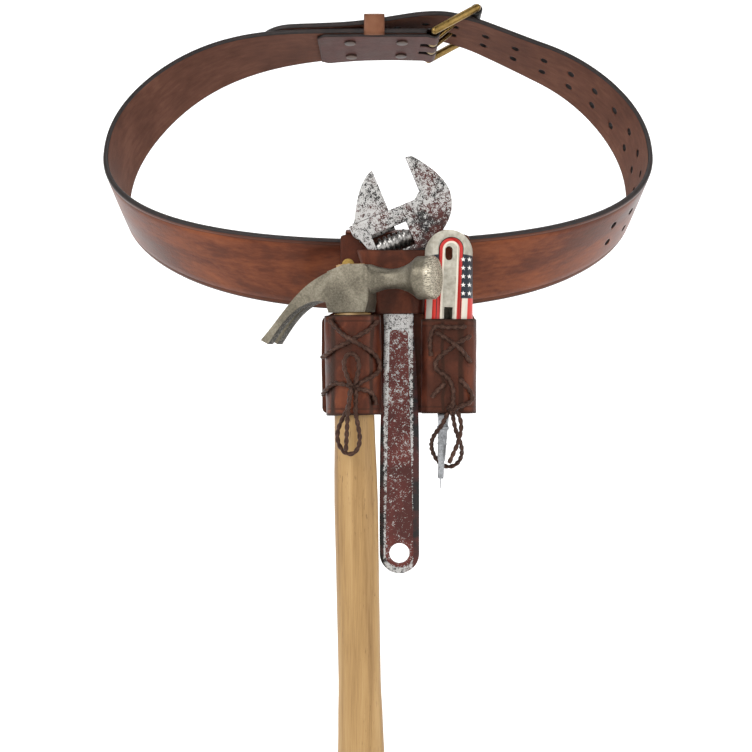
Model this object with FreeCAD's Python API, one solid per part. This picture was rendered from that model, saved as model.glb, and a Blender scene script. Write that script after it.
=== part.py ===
import FreeCAD, Part
import math
import os

# Carpenter's tool belt: a buckled leather strap with a three-tool holster, a claw hammer,
# an adjustable wrench and a utility knife. Millimetres. +X is the wearer's right-to-left line
# as seen from the front, +Y points from the holster to the buckle, +Z is up and the tools hang
# along -Z. The origin is the centre of the waist ring; the ring's plane is tilted, buckle high.

V = FreeCAD.Vector

# ---- strap ring ----
RING_A = 178.6              # half width of the ring at the strap's top edge
RING_B = 111.7              # half depth of the ring at the strap's top edge
FRONT_POWER = 2.02          # superellipse exponent of the front half
BACK_POWER = 2.30           # superellipse exponent of the back half
BACK_FLATTENING = 16.0      # how much the double ply at the buckle flattens the ring
RING_TILT = 45.1            # angle of the ring's plane to the horizontal
SIDE_DROP = 25.3            # how far the sides of the ring lie under its plane
LEAN_FRONT = 14.4           # outward lean of the strap's lower edge, by place on the ring
LEAN_SIDE = -13.7
LEAN_BACK = 31.4
LEAN_RIGHT_BACK = 1.9       # twists half way between the side and the back
LEAN_LEFT_BACK = -4.6
STRAP_W = 50.0
STRAP_T = 3.6
HOLE_D = 5.0
HOLE_PITCH = 20.5
HOLE_ROWS = (17.5, 32.5)    # distance of the two hole rows from the top edge
HOLE_PAIRS = 13
TAIL_LENGTH = 118.0         # from the heel bar to the strap's tip
TAIL_GAP = 0.6
# outward distance of the strap's middle from the ring, by place past the heel bar
TAIL_RISE = ((-75, 0.0), (-60, 1.2), (-45, 4.2), (-30, 8.3), (-24, 9.7), (-10, 12.4), (0, 12.7),
             (10, 12.0), (20, 10.5), (40, 7.2), (60, 5.0), (80, STRAP_T + TAIL_GAP))

# ---- buckle ----
BAR_X = 38.0                # where the heel bar crosses the ring, right of the middle
BAR_R = 2.0
BAR_CLEARANCE = 0.05
BAR_DEPTH = -1.2            # heel bar's centre, measured outward from the strap's middle
WRAP_R = 4.2                # leather round the heel bar
FRAME_LENGTH = 33.0         # heel bar to outer bar
FRAME_HALF_W = 28.6         # to the middle of the side rails
FRAME_SLANT = 30.0          # outward slant of the frame from the strap
RAIL_R = 2.6
ROLLER_R = 4.0
PRONG_R = 1.7
PRONG_EYE_R = 3.7
PRONG_WAY = 1.6             # room round the prongs where they pass the strap
FOLD_T = 2.4
FOLD_LENGTH = 79.0
KEEPER_AT = 40.5            # distance of the keeper's middle from the heel bar
KEEPER_W = 14.0
RIVET_HEAD_R = 3.75
RIVET_SHANK_R = 1.7
FOLD_RIVETS = ((21.5, 11.5), (21.5, 38.0), (57.0, 11.5), (57.0, 38.0))

# ---- holster and tools, drawn in a frame of their own ----
HANG = V(0, 6.0, -8.5)      # that frame's origin, measured from the ring's centre
PANEL_BACK = -87.0
PANEL_T = 3.0
PANEL_FRONT = PANEL_BACK - PANEL_T
PANEL_TOP = (-23.7, 57.0, -67.5)        # left, right and top of the upper part
PANEL_LOW = (-35.0, 60.5, -120.0, -178.8)   # left, right, top and bottom of the lower part
FLAP_T = 2.6
FLAP_SIDES = (-20.5, 46.0)

# ---- hammer ----
HAMMER_AT = V(-16.1, -116.3, -102.0)    # middle of the head on the handle's axis
HAMMER_SIDE_LEAN = 0.02
HAMMER_TURN = 19.5          # face turned towards the front by this angle
HANDLE_LENGTH = 291.0       # from the head's middle to the butt
HEAD_HALF_H = 15.0
SLEEVE_HALF = (15.4, 11.9)  # clear half widths inside the hammer sleeve
SLEEVE_T = 2.3
SLEEVE_SPAN = (-16.2, -77.6)

# ---- wrench ----
WRENCH_Y = -96.2            # middle plane of the wrench
HEAD_T = 11.4
HANDLE_T = 9.0
JAW_ANGLE = 22.5            # slope of the jaw's slide
RAIL_ORIGIN = V(0, 0, -55.9)
FIXED_FACE = 29.3           # jaw faces, measured along the slide
MOVING_FACE = 7.0
BORE_R = 4.6
BORE_Q = -8.0               # depth of the slide's bore under the rail's edge
WORM_R = 5.6
WORM_Q = -19.4
WORM_SPAN = (-8.4, 14.0)
HANG_HOLE_R = 6.2
HANG_HOLE_AT = (13.2, -265.2)

# ---- knife ----
KNIFE_AT = V(43.4, -111.6, -120.0)      # on the knife's axis at the pocket's mouth
KNIFE_W = 29.4
KNIFE_D = 15.0
KNIFE_CORNER = 6.5
KNIFE_TOP = 54.0
KNIFE_SKEW = 2.6            # the blade's line slants by this angle within the handle
KNIFE_SKEW_AT = 13.0
KNIFE_LOW = -47.0
POCKET_SPAN = (-0.6, -58.6)
POCKET_GAP = 0.7
POCKET_T = 1.6

# ---- laces ----
LACE_D = 3.0


def unit(vector):
    return V(vector).normalize()


def smooth(value):
    value = min(1.0, max(0.0, value))
    return value * value * (3 - 2 * value)


def save(name, shape):
    solids = shape.Solids
    shape = solids[0] if len(solids) == 1 else shape
    print(f"{name:22s} valid {shape.isValid()} solids {len(solids)} volume {shape.Volume:.1f}")
    shape.exportStep(f"parts/{name}.step")


def cylinder(start, end, radius):
    axis = end.sub(start)
    return Part.makeCylinder(radius, axis.Length, start, axis)


def box(low, high):
    size = V(high).sub(V(low))
    return Part.makeBox(size.x, size.y, size.z, V(low))


def edges_along(shape, direction):
    found = []
    for edge in shape.Edges:
        if isinstance(edge.Curve, Part.Line):
            along = abs(edge.Curve.Direction.normalize().dot(direction))
            if along > 0.999:
                found.append(edge)
    return found


# ------------------------------------------------------------------ strap path

def ring_point(angle):
    """A point of the strap's top edge, in the ring's own plane frame."""
    c = math.cos(angle)
    s = math.sin(angle)
    power = 2 / (BACK_POWER if s > 0 else FRONT_POWER)
    x = RING_A * math.copysign(abs(c) ** power, c)
    y = RING_B * math.copysign(abs(s) ** power, s)
    y -= BACK_FLATTENING * max(0.0, s) ** 10
    return V(x, y, -SIDE_DROP * c * c)


def ring_lean(angle):
    middle = (LEAN_FRONT + LEAN_BACK) / 2
    c = math.cos(angle)
    s = math.sin(angle)
    lean = middle + (LEAN_BACK - LEAN_FRONT) / 2 * s + (LEAN_SIDE - middle) * c * c
    lean += 2 * max(0.0, s) * (LEAN_RIGHT_BACK * max(0.0, c) + LEAN_LEFT_BACK * max(0.0, -c))
    return math.radians(lean)


def tilt(vector):
    c = math.cos(math.radians(RING_TILT))
    s = math.sin(math.radians(RING_TILT))
    return V(vector.x, vector.y * c - vector.z * s, vector.y * s + vector.z * c)


def strap_axes(angle):
    """Point on the top edge, direction along the strap, outward normal, direction down the width."""
    step = 0.004
    here = ring_point(angle)
    along = ring_point(angle + step).sub(ring_point(angle - step))
    flat = unit(V(along.x, along.y, 0))
    out = V(flat.y, -flat.x, 0)
    lean = ring_lean(angle)
    down = V(0, 0, -1).multiply(math.cos(lean)).add(V(out).multiply(math.sin(lean)))
    along = unit(along)
    outward = unit(along.cross(down).multiply(-1))
    down = unit(outward.cross(along).multiply(-1))
    return tilt(here), tilt(along), tilt(outward), tilt(down)


def walk_table():
    """Arc length from the heel bar against angle, round the ring and along the tail."""
    start = math.acos((BAR_X / RING_A) ** (BACK_POWER / 2))
    table = [(0.0, start)]
    step = math.radians(0.25)
    while table[-1][0] < 1200:
        length, angle = table[-1]
        length += ring_point(angle + step).sub(ring_point(angle)).Length
        table.append((length, angle + step))
    return table


WALK = walk_table()


def angle_at(length):
    if length < 0:
        return WALK[0][1] + length / ring_point(WALK[0][1]).Length
    for (l0, a0), (l1, a1) in zip(WALK, WALK[1:]):
        if l1 >= length:
            return a0 + (a1 - a0) * (length - l0) / (l1 - l0)
    raise ValueError(length)


def full_turn():
    target = WALK[0][1] + 2 * math.pi
    for (l0, a0), (l1, a1) in zip(WALK, WALK[1:]):
        if a1 >= target:
            return l0 + (l1 - l0) * (target - a0) / (a1 - a0)
    raise ValueError(target)


PERIMETER = full_turn()
STRAP_START = 5.0


def tail_offset(length):
    """How far outward the strap's middle lies: past a full turn it lies on the first ply."""
    past = length - PERIMETER
    if past <= TAIL_RISE[0][0]:
        return 0.0
    for i in range(len(TAIL_RISE) - 1):
        (x0, y0), (x1, y1) = TAIL_RISE[i:i + 2]
        if past < x1:
            before = TAIL_RISE[max(0, i - 1)]
            after = TAIL_RISE[min(len(TAIL_RISE) - 1, i + 2)]
            slope0 = (y1 - before[1]) / (x1 - before[0]) if i else 0.0
            slope1 = (after[1] - y0) / (after[0] - x0)
            t = (past - x0) / (x1 - x0)
            pull = slope0 * t * (1 - t) ** 2 - slope1 * t * t * (1 - t)
            return y0 + (y1 - y0) * smooth(t) + (x1 - x0) * pull
    return TAIL_RISE[-1][1]


def strap_section(length, offset, thickness, low=0.0, high=STRAP_W):
    point, _, outward, down = strap_axes(angle_at(length))
    corners = []
    for o, w in ((-0.5, low), (0.5, low), (0.5, high), (-0.5, high)):
        move = V(outward).multiply(offset + o * thickness)
        corners.append(point.add(move).add(V(down).multiply(w)))
    return Part.makePolygon(corners + corners[:1])


def strap_place(length, outward_by, down_by):
    point, along, outward, down = strap_axes(angle_at(length))
    return point.add(V(outward).multiply(outward_by)).add(V(down).multiply(down_by))


def strap_rod(length, down_by, low, high, radius):
    return cylinder(strap_place(length, low, down_by), strap_place(length, high, down_by), radius)


def lengths(start, end, step):
    count = max(2, round((end - start) / step))
    return [start + (end - start) * i / count for i in range(count + 1)]


def tail_narrowing(length):
    """The strap's tip is rounded off over its last stretch."""
    reach = 22.0
    near = max(0.0, length - (PERIMETER + TAIL_LENGTH - reach)) / reach
    return 17.0 * (1 - math.sqrt(max(0.0, 1 - near * near)))


def make_strap():
    tip = PERIMETER + TAIL_LENGTH
    marks = lengths(STRAP_START, PERIMETER - 80, 15)
    marks += lengths(PERIMETER - 72, PERIMETER + 64, 8)
    marks += lengths(PERIMETER + 75, tip - 24, 12)
    marks += lengths(tip - 18, tip, 4.5)
    sections = []
    for length in marks:
        narrow = tail_narrowing(length)
        section = strap_section(length, tail_offset(length), STRAP_T, narrow, STRAP_W - narrow)
        sections.append(section)
    return Part.makeLoft(sections, True, True)


def punch_lengths():
    """Hole pairs at one pitch: the pair at the buckle, two pairs on the tail, the rest on the strap."""
    return [PERIMETER - PRONG_CROSS - HOLE_PITCH * k for k in range(-2, HOLE_PAIRS)]


def strap_punches():
    punches = []
    for length in punch_lengths():
        at = tail_offset(length)
        punches += [strap_rod(length, row, at - 6, at + 6, HOLE_D / 2) for row in HOLE_ROWS]
    return punches


# ------------------------------------------------------------------ buckle

BAR_POINT, BAR_ALONG, BAR_OUT, BAR_DOWN = strap_axes(WALK[0][1])
BAR_ALONG = V(BAR_ALONG).multiply(-1)      # now points from the heel bar to the outer bar
BAR_CENTRE = BAR_POINT.add(V(BAR_OUT).multiply(BAR_DEPTH)).add(V(BAR_DOWN).multiply(STRAP_W / 2))
PRONG_CROSS = 15.6          # distance from the heel bar at which the prongs pass the strap


def at_buckle(s, o, w):
    """A point given along, outward and down from the heel bar's middle."""
    move = V(BAR_ALONG).multiply(s).add(V(BAR_OUT).multiply(o)).add(V(BAR_DOWN).multiply(w))
    return BAR_CENTRE.add(move)


def along_frame(distance, lift=0.0):
    """Along and outward distances of a point in the slanted plane of the frame."""
    c = math.cos(math.radians(FRAME_SLANT))
    s = math.sin(math.radians(FRAME_SLANT))
    return distance * c - lift * s, distance * s + lift * c


def make_frame():
    end_s, end_o = along_frame(FRAME_LENGTH)
    shape = cylinder(at_buckle(0, 0, -FRAME_HALF_W), at_buckle(0, 0, FRAME_HALF_W), BAR_R)
    outer = cylinder(at_buckle(end_s, end_o, -FRAME_HALF_W), at_buckle(end_s, end_o, FRAME_HALF_W), BAR_R)
    shape = shape.fuse(outer)
    for side in (-FRAME_HALF_W, FRAME_HALF_W):
        rail = cylinder(at_buckle(0, 0, side), at_buckle(end_s, end_o, side), RAIL_R)
        shape = shape.fuse([rail, Part.makeSphere(RAIL_R, at_buckle(0, 0, side))])
        shape = shape.fuse(Part.makeSphere(RAIL_R, at_buckle(end_s, end_o, side)))
    return shape


def make_roller():
    end_s, end_o = along_frame(FRAME_LENGTH)
    half = FRAME_HALF_W - RAIL_R - 0.4
    low = at_buckle(end_s, end_o, -half)
    high = at_buckle(end_s, end_o, half)
    return cylinder(low, high, ROLLER_R).cut(cylinder(low, high, BAR_R + BAR_CLEARANCE))


def prong_lift():
    return ROLLER_R + PRONG_R + 0.5


def make_prong(row, grow=0.0):
    w = row - STRAP_W / 2
    eye_half = 1.9 + grow
    eye = cylinder(at_buckle(0, 0, w - eye_half), at_buckle(0, 0, w + eye_half), PRONG_EYE_R + grow)
    reach = FRAME_LENGTH + 3.0
    reach_s, reach_o = along_frame(reach, prong_lift() * reach / FRAME_LENGTH)
    tip = at_buckle(reach_s, reach_o, w)
    shaft = cylinder(at_buckle(0, 0, w), tip, PRONG_R + grow)
    shape = eye.fuse([shaft, Part.makeSphere(PRONG_R + grow, tip)])
    if grow == 0.0:
        bore = cylinder(at_buckle(0, 0, w - 4), at_buckle(0, 0, w + 4), BAR_R + BAR_CLEARANCE)
        shape = shape.cut(bore)
    return shape


def fold_slot(row):
    """The slot in the folded end that the prong's eye turns in."""
    w = row - STRAP_W / 2
    corners = [at_buckle(s, o, w - 2.4) for s, o in ((-8.5, -9), (11.5, -9), (11.5, 9), (-8.5, 9))]
    return Part.Face(Part.makePolygon(corners + corners[:1])).extrude(V(BAR_DOWN).multiply(4.8))


def make_fold():
    half = STRAP_T / 2
    leg = [strap_section(length, -half - FOLD_T / 2, FOLD_T, 0.6, STRAP_W - 0.6)
           for length in lengths(STRAP_START, FOLD_LENGTH, 12)]
    shape = Part.makeLoft(leg, True, True)
    inner = -half - FOLD_T - BAR_DEPTH
    outer = half - BAR_DEPTH
    corners = [at_buckle(-STRAP_START, inner, -24.4), at_buckle(-STRAP_START, outer, -24.4)]
    corners += [at_buckle(0.5, WRAP_R * 0.98, -24.4), at_buckle(0.5, -WRAP_R * 0.98, -24.4)]
    neck = Part.Face(Part.makePolygon(corners + corners[:1])).extrude(V(BAR_DOWN).multiply(48.8))
    wrap = cylinder(at_buckle(0, 0, -24.4), at_buckle(0, 0, 24.4), WRAP_R)
    bore = cylinder(at_buckle(0, 0, -30), at_buckle(0, 0, 30), BAR_R + BAR_CLEARANCE)
    shape = shape.fuse([neck, wrap]).cut(bore)
    for row in HOLE_ROWS:
        shape = shape.cut(fold_slot(row))
    return shape


def make_keeper():
    """A closed leather loop: its inner leg lies between the strap and the fold."""
    point, along, outward, down = strap_axes(angle_at(KEEPER_AT))
    turn = FreeCAD.Rotation(along, outward, down, "ZXY")
    inner_leg = -STRAP_T / 2 - 1.3
    outer_leg = tail_offset(PERIMETER + KEEPER_AT) + STRAP_T / 2 + 1.5

    def block(low_o, high_o, low_w, high_w, half):
        shape = Part.makeBox(2 * half, high_o - low_o, high_w - low_w)
        corner = V(point).sub(V(along).multiply(half)).add(V(outward).multiply(low_o))
        shape.Placement = FreeCAD.Placement(corner.add(V(down).multiply(low_w)), turn)
        return shape

    body = block(inner_leg, outer_leg + 1.7, -2.3, STRAP_W + 2.3, KEEPER_W / 2)
    space = block(inner_leg + 1.3, outer_leg, -0.5, STRAP_W + 0.5, KEEPER_W)
    return body.cut(space)


def make_fold_rivet(length, down_by):
    half = STRAP_T / 2
    foot = -half - FOLD_T
    shank = strap_rod(length, down_by, foot, half - 0.3, RIVET_SHANK_R)
    head = strap_rod(length, down_by, foot - 1.2, foot, RIVET_HEAD_R)
    return shank.fuse(head)


# ------------------------------------------------------------------ holster

def plate(corners, y_front, thickness):
    points = [V(x, y_front, z) for x, z in corners]
    return Part.Face(Part.makePolygon(points + points[:1])).extrude(V(0, thickness, 0))


def make_panel():
    left, right, top = PANEL_TOP
    low_left, low_right, shoulder, bottom = PANEL_LOW
    corners = [(left, top), (right, top), (right, shoulder + 6), (low_right, shoulder)]
    corners += [(low_right, bottom), (low_left, bottom), (low_left, shoulder), (left, shoulder + 6)]
    shape = plate(corners, PANEL_FRONT, PANEL_T)
    return shape.makeFillet(2.8, edges_along(shape, V(0, 1, 0)))


def thick_path(points, thickness):
    """A closed outline round a centre line, mitred at its corners."""
    sides = ([], [])
    for i, (y, z) in enumerate(points):
        before = points[max(0, i - 1)]
        after = points[min(len(points) - 1, i + 1)]
        d0 = unit(V(y - before[0], z - before[1], 0)) if i else None
        d1 = unit(V(after[0] - y, after[1] - z, 0)) if i < len(points) - 1 else None
        d0 = d0 or d1
        d1 = d1 or d0
        middle = unit(d0.add(d1))
        scale = thickness / 2 / middle.dot(d0)
        for side, sign in zip(sides, (1, -1)):
            side.append((y - sign * middle.y * scale, z + sign * middle.x * scale))
    return sides[0] + sides[1][::-1]


def make_flap():
    """From the panel's top over the strap, down behind it and back to the panel below it."""
    line = [(PANEL_BACK, -67.2), (-80.8, -65.1), (-76.2, -67.4), (-50.2, -111.0),
            (-51.5, -120.0), (PANEL_BACK + 6.0, -130.0), (PANEL_BACK + FLAP_T / 2, -135.5),
            (PANEL_BACK + FLAP_T / 2, -149.0)]
    outline = [V(FLAP_SIDES[0], y, z) for y, z in thick_path(line, FLAP_T)]
    face = Part.Face(Part.makePolygon(outline + outline[:1]))
    shape = face.extrude(V(FLAP_SIDES[1] - FLAP_SIDES[0], 0, 0))
    behind = box((-60, PANEL_BACK, -160), (80, 0, -60))
    return shape.common(behind)


def make_stud(x, z, back, front, head_r, head_front):
    """A rivet through the panel, with its head on the front or on the back."""
    shank = cylinder(V(x, back, z), V(x, front, z), RIVET_SHANK_R)
    if head_front:
        return shank.fuse(cylinder(V(x, front, z), V(x, front - 1.9, z), head_r))
    return shank.fuse(cylinder(V(x, back, z), V(x, back + 1.4, z), head_r))


def arch_wire(left, right, front, z, corner):
    """The outline of the wrench loop at one height: open side on the panel."""
    back = PANEL_FRONT
    diagonal = corner * (1 - math.sqrt(0.5))
    a = V(left, back, z)
    b = V(left, front + corner, z)
    c = V(left + corner, front, z)
    d = V(right - corner, front, z)
    e = V(right, front + corner, z)
    f = V(right, back, z)
    near = V(left + diagonal, front + diagonal, z)
    far = V(right - diagonal, front + diagonal, z)
    edges = [Part.LineSegment(a, b), Part.Arc(b, near, c), Part.LineSegment(c, d),
             Part.Arc(d, far, e), Part.LineSegment(e, f), Part.LineSegment(f, a)]
    return Part.Wire([edge.toShape() for edge in edges])


LOOP_LEVELS = ((-77.5, -13.5, 33.8, -105.2), (-97.0, -7.5, 30.4, -104.9), (-117.4, -3.4, 28.4, -104.3))


def make_wrench_loop():
    wall = 2.0
    outer = [arch_wire(l, r, f, z, 4.6) for z, l, r, f in LOOP_LEVELS]
    shape = Part.makeLoft(outer, True, True)
    inner = []
    for z, l, r, f in LOOP_LEVELS:
        z += 1 if z == LOOP_LEVELS[0][0] else -1 if z == LOOP_LEVELS[-1][0] else 0
        inner.append(arch_wire(l + wall, r - wall, f + wall, z, 2.4))
    shape = shape.cut(Part.makeLoft(inner, True, True))
    return shape


# ------------------------------------------------------------------ hammer

HAMMER_UP = unit(V(-HAMMER_SIDE_LEAN, 0, 1))


def hammer_place():
    side = V(1, 0, 0).sub(V(HAMMER_UP).multiply(HAMMER_UP.x))
    turn = FreeCAD.Rotation(HAMMER_UP, -HAMMER_TURN)
    forward = turn.multVec(unit(side))
    back = HAMMER_UP.cross(forward)
    return FreeCAD.Placement(HAMMER_AT, FreeCAD.Rotation(forward, back, HAMMER_UP, "ZXY"))


def placed(shape, placement):
    shape = shape.copy()
    shape.Placement = placement
    return shape


def placed_by(shape, move):
    shape = shape.copy()
    shape.translate(move)
    return shape


def oval(half_x, half_y, z):
    ellipse = Part.Ellipse(V(0, 0, z), half_x, half_y)
    return Part.Wire(ellipse.toShape())


HANDLE_SECTIONS = ((-15.2, 11.4, 9.2), (-30, 12.2, 10.0), (-77, 12.5, 10.3), (-130, 13.7, 10.8),
                   (-175, 13.5, 10.8), (-240, 13.3, 10.7), (-268, 14.2, 11.0), (-288, 14.8, 11.2),
                   (-HANDLE_LENGTH, 13.4, 9.8))
TENON = (9.6, 6.6)


def make_handle():
    sections = []
    for (z0, a0, b0), (z1, a1, b1) in zip(HANDLE_SECTIONS, HANDLE_SECTIONS[1:]):
        for i in range(3):
            part = i / 3
            ease = smooth(part)
            sections.append(oval(a0 + (a1 - a0) * ease, b0 + (b1 - b0) * ease, z0 + (z1 - z0) * part))
    z, a, b = HANDLE_SECTIONS[-1]
    sections.append(oval(a, b, z))
    shape = Part.makeLoft(sections, True, True)
    tenon = Part.Face(oval(TENON[0], TENON[1], HEAD_HALF_H - 0.4)).extrude(V(0, 0, -30.0))
    return shape.fuse(tenon)


def make_wedge(half_x, half_y, depth):
    return box((-half_x, -half_y, HEAD_HALF_H - 0.4 - depth), (half_x, half_y, HEAD_HALF_H + 0.2))


def make_head():
    low = -HEAD_HALF_H + 0.4
    cheek = [(-12.2, low), (11.5, low), (13.5, -7), (13.5, 12.5), (10.5, HEAD_HALF_H - 0.4),
             (-2, HEAD_HALF_H - 0.4), (-12.5, 10.6), (-14.5, -6)]
    points = [V(x, -9.6, z) for x, z in cheek]
    block = Part.Face(Part.makePolygon(points + points[:1])).extrude(V(0, 19.2, 0))
    block = block.makeFillet(3.5, edges_along(block, V(0, 0, 1)))
    neck = Part.BSplineCurve()
    neck.interpolate([V(13, 0, 9.2), V(20, 0, 6.9), V(28, 0, 6.1), V(36, 0, 8.2), V(42.5, 0, 12.6)])
    root = Part.makePolygon([V(5, 0, 0), V(5, 0, 9.0), V(13, 0, 9.2)])
    rim = Part.makePolygon([V(42.5, 0, 12.6), V(43.5, 0, 13.2), V(53.2, 0, 13.3), V(54.8, 0, 12.0),
                            V(55.3, 0, 0), V(5, 0, 0)])
    poll = Part.Face(Part.Wire([root, neck.toShape(), rim])).revolve(V(0, 0, 0), V(1, 0, 0), 360)
    poll.translate(V(0, 0, 5.3))
    shape = block.fuse([poll, make_claw()])
    return shape.cut(Part.Face(oval(TENON[0], TENON[1], -30)).extrude(V(0, 0, 60)))


def make_claw():
    top = Part.BSplineCurve()
    top.interpolate([V(-4, 0, 13.4), V(-12.2, 0, 10.2), V(-23.5, 0, 4.0), V(-39.2, 0, -11.0),
                     V(-55.8, 0, -30.4)])
    under = Part.BSplineCurve()
    under.interpolate([V(-51.2, 0, -33.0), V(-42.3, 0, -21.2), V(-31.4, 0, -11.4), V(-21, 0, -7.4),
                       V(-12, 0, -9.0)])
    tip = Part.LineSegment(V(-55.8, 0, -30.4), V(-51.2, 0, -33.0))
    step = Part.LineSegment(V(-12, 0, -9.0), V(-4, 0, -9.0))
    close = Part.LineSegment(V(-4, 0, -9.0), V(-4, 0, 13.4))
    wire = Part.Wire([top.toShape(), tip.toShape(), under.toShape(), step.toShape(), close.toShape()])
    slab = Part.Face(wire).extrude(V(0, 28, 0))
    slab.translate(V(0, -14, 0))
    plan = [V(-3, -9.0, -40), V(-15, -9.2, -40), V(-28, -10.6, -40), V(-58, -12.9, -40)]
    plan += [V(p.x, -p.y, p.z) for p in plan[::-1]]
    slab = slab.common(Part.Face(Part.makePolygon(plan + plan[:1])).extrude(V(0, 0, 70)))
    notch = [V(-25.0, 0, -40), V(-36, 1.5, -40), V(-60, 5.0, -40), V(-60, -5.0, -40), V(-36, -1.5, -40)]
    return slab.cut(Part.Face(Part.makePolygon(notch + notch[:1])).extrude(V(0, 0, 70)))


def make_sleeve():
    high, low = SLEEVE_SPAN
    outer = Part.Face(oval(SLEEVE_HALF[0] + SLEEVE_T, SLEEVE_HALF[1] + SLEEVE_T, low))
    inner = Part.Face(oval(SLEEVE_HALF[0], SLEEVE_HALF[1], low - 1))
    tube = outer.extrude(V(0, 0, high - low))
    return tube.cut(inner.extrude(V(0, 0, high - low + 2)))


def make_sleeve_welt():
    """Stacked leather that fills the space between the panel and the sleeve."""
    block = box((-30.5, -110, -176.5), (-1.4, PANEL_FRONT, -121.5))
    core = Part.Face(oval(SLEEVE_HALF[0] + SLEEVE_T, SLEEVE_HALF[1] + SLEEVE_T, -100)).extrude(V(0, 0, 110))
    core = placed(core, hammer_place())
    rest = block.cut(core)
    return max(rest.Solids, key=lambda solid: solid.BoundBox.YMax)


# ------------------------------------------------------------------ wrench

ALONG = V(math.cos(math.radians(JAW_ANGLE)), 0, math.sin(math.radians(JAW_ANGLE)))
ACROSS = V(-math.sin(math.radians(JAW_ANGLE)), 0, math.cos(math.radians(JAW_ANGLE)))


def rail(p, q, y=0.0):
    """A point on the wrench by distance along the slide and above the rail's edge."""
    point = RAIL_ORIGIN.add(V(ALONG).multiply(p)).add(V(ACROSS).multiply(q))
    return V(point.x, WRENCH_Y + y, point.z)


def rail_block(low_p, high_p, low_q, high_q, half_y):
    corners = [rail(low_p, low_q, -half_y), rail(high_p, low_q, -half_y),
               rail(high_p, high_q, -half_y), rail(low_p, high_q, -half_y)]
    return Part.Face(Part.makePolygon(corners + corners[:1])).extrude(V(0, 2 * half_y, 0))


def wrench_face(half_y):
    def at(points):
        return [V(x, WRENCH_Y - half_y, z) for x, z in points]

    tip = rail(FIXED_FACE, 26.5, -half_y)
    root = rail(FIXED_FACE, 4.0, -half_y)
    inner = rail(FIXED_FACE - 5.0, 0, -half_y)
    heel = rail(-19.6, 0, -half_y)
    back = at([(20.8, -19.6), (34.0, -28.2), (44.4, -41.5), (45.2, -54.0), (37.6, -68.6), (28.8, -81.0),
               (23.6, -98.0), (22.1, -123.0), (24.4, -165.0), (25.4, -220.0), (25.4, -265.4)])
    front = at([(1.0, -265.4), (1.0, -220.0), (2.2, -165.0), (3.6, -123.0), (2.0, -104.0),
                (-3.6, -80.5)])
    jaw_back = Part.BSplineCurve()
    jaw_back.interpolate(back)
    handle_front = Part.BSplineCurve()
    handle_front.interpolate(front)
    end = Part.Arc(back[-1], at([(13.2, -277.6)])[0], front[0])
    step = at([(-11.2, -71.4), (-15.6, -69.0)])
    outline = [Part.LineSegment(tip, back[0]), jaw_back, end, handle_front,
               Part.LineSegment(front[-1], step[0]), Part.LineSegment(step[0], step[1]),
               Part.LineSegment(step[1], heel), Part.LineSegment(heel, inner),
               Part.LineSegment(inner, root), Part.LineSegment(root, tip)]
    return Part.Face(Part.Wire([curve.toShape() for curve in outline]))


def make_wrench_body():
    head = wrench_face(HEAD_T / 2).extrude(V(0, HEAD_T, 0))
    head = head.common(box((-40, -130, -90), (60, -60, 0)))
    handle = wrench_face(HANDLE_T / 2).extrude(V(0, HANDLE_T, 0))
    handle = handle.common(box((-40, -130, -300), (60, -60, -88)))
    shape = head.fuse(handle)
    for side in (-1, 1):
        shape = shape.cut(handle_recess(side))
    shape = shape.cut(cylinder(rail(-30, BORE_Q), rail(28.4, BORE_Q), BORE_R))
    shape = shape.cut(rail_block(-30, 28.4, BORE_Q, 5, 2.7))
    window = rail_block(WORM_SPAN[0] - 0.5, WORM_SPAN[1] + 0.5, WORM_Q - WORM_R - 0.6, BORE_Q - 2, 20)
    shape = shape.cut(window)
    x, z = HANG_HOLE_AT
    return shape.cut(cylinder(V(x, -130, z), V(x, -60, z), HANG_HOLE_R))


def handle_recess(side):
    """The sunk panel along each face of the handle, down to round the hang hole."""
    depth = 1.1
    y = WRENCH_Y + side * (HANDLE_T / 2 - depth / 2) - depth / 2 - (0.1 if side < 0 else 0)
    top_left, top_right = V(7.2, y, -127.0), V(18.4, y, -127.0)
    low_right, low_left = V(21.9, y, -265.4), V(4.5, y, -265.4)
    end = Part.Arc(low_right, V(13.2, y, -274.1), low_left)
    sides = [(low_left, top_left), (top_left, top_right), (top_right, low_right)]
    wire = Part.Wire([Part.LineSegment(a, b).toShape() for a, b in sides] + [end.toShape()])
    recess = Part.Face(wire).extrude(V(0, depth + 0.1, 0))
    corners = [edge for edge in edges_along(recess, V(0, 1, 0)) if edge.CenterOfMass.z > -130]
    return recess.makeFillet(3.0, corners)


def make_wrench_jaw():
    """The sliding jaw: a hooked blade on a round rail with a rack on its underside."""
    base = 0.35
    half_y = HEAD_T / 2
    tip = rail(MOVING_FACE, 26.8, -half_y)
    foot = rail(MOVING_FACE, base, -half_y)
    heel = rail(-16.4, base, -half_y)
    shoulder = rail(-14.8, 2.6, -half_y)
    back = Part.BSplineCurve()
    back.interpolate([shoulder, rail(-8.4, 13.4, -half_y), rail(-2.6, 20.6, -half_y),
                      rail(4.6, 26.0, -half_y)])
    lines = [Part.LineSegment(foot, tip), Part.LineSegment(tip, rail(4.6, 26.0, -half_y)), back,
             Part.LineSegment(shoulder, heel), Part.LineSegment(heel, foot)]
    blade = Part.Face(Part.Wire([line.toShape() for line in lines])).extrude(V(0, HEAD_T, 0))
    ends = (-17.0, MOVING_FACE - 0.6)
    neck = rail_block(ends[0], ends[1], BORE_Q, base + 1, 2.35)
    rod = cylinder(rail(ends[0], BORE_Q), rail(ends[1], BORE_Q), BORE_R - 0.06)
    shape = blade.fuse([neck, rod])
    flat = rail_block(-20, 20, BORE_Q - 8, BORE_Q - 4.3, 8)
    return shape.cut(flat)


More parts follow.
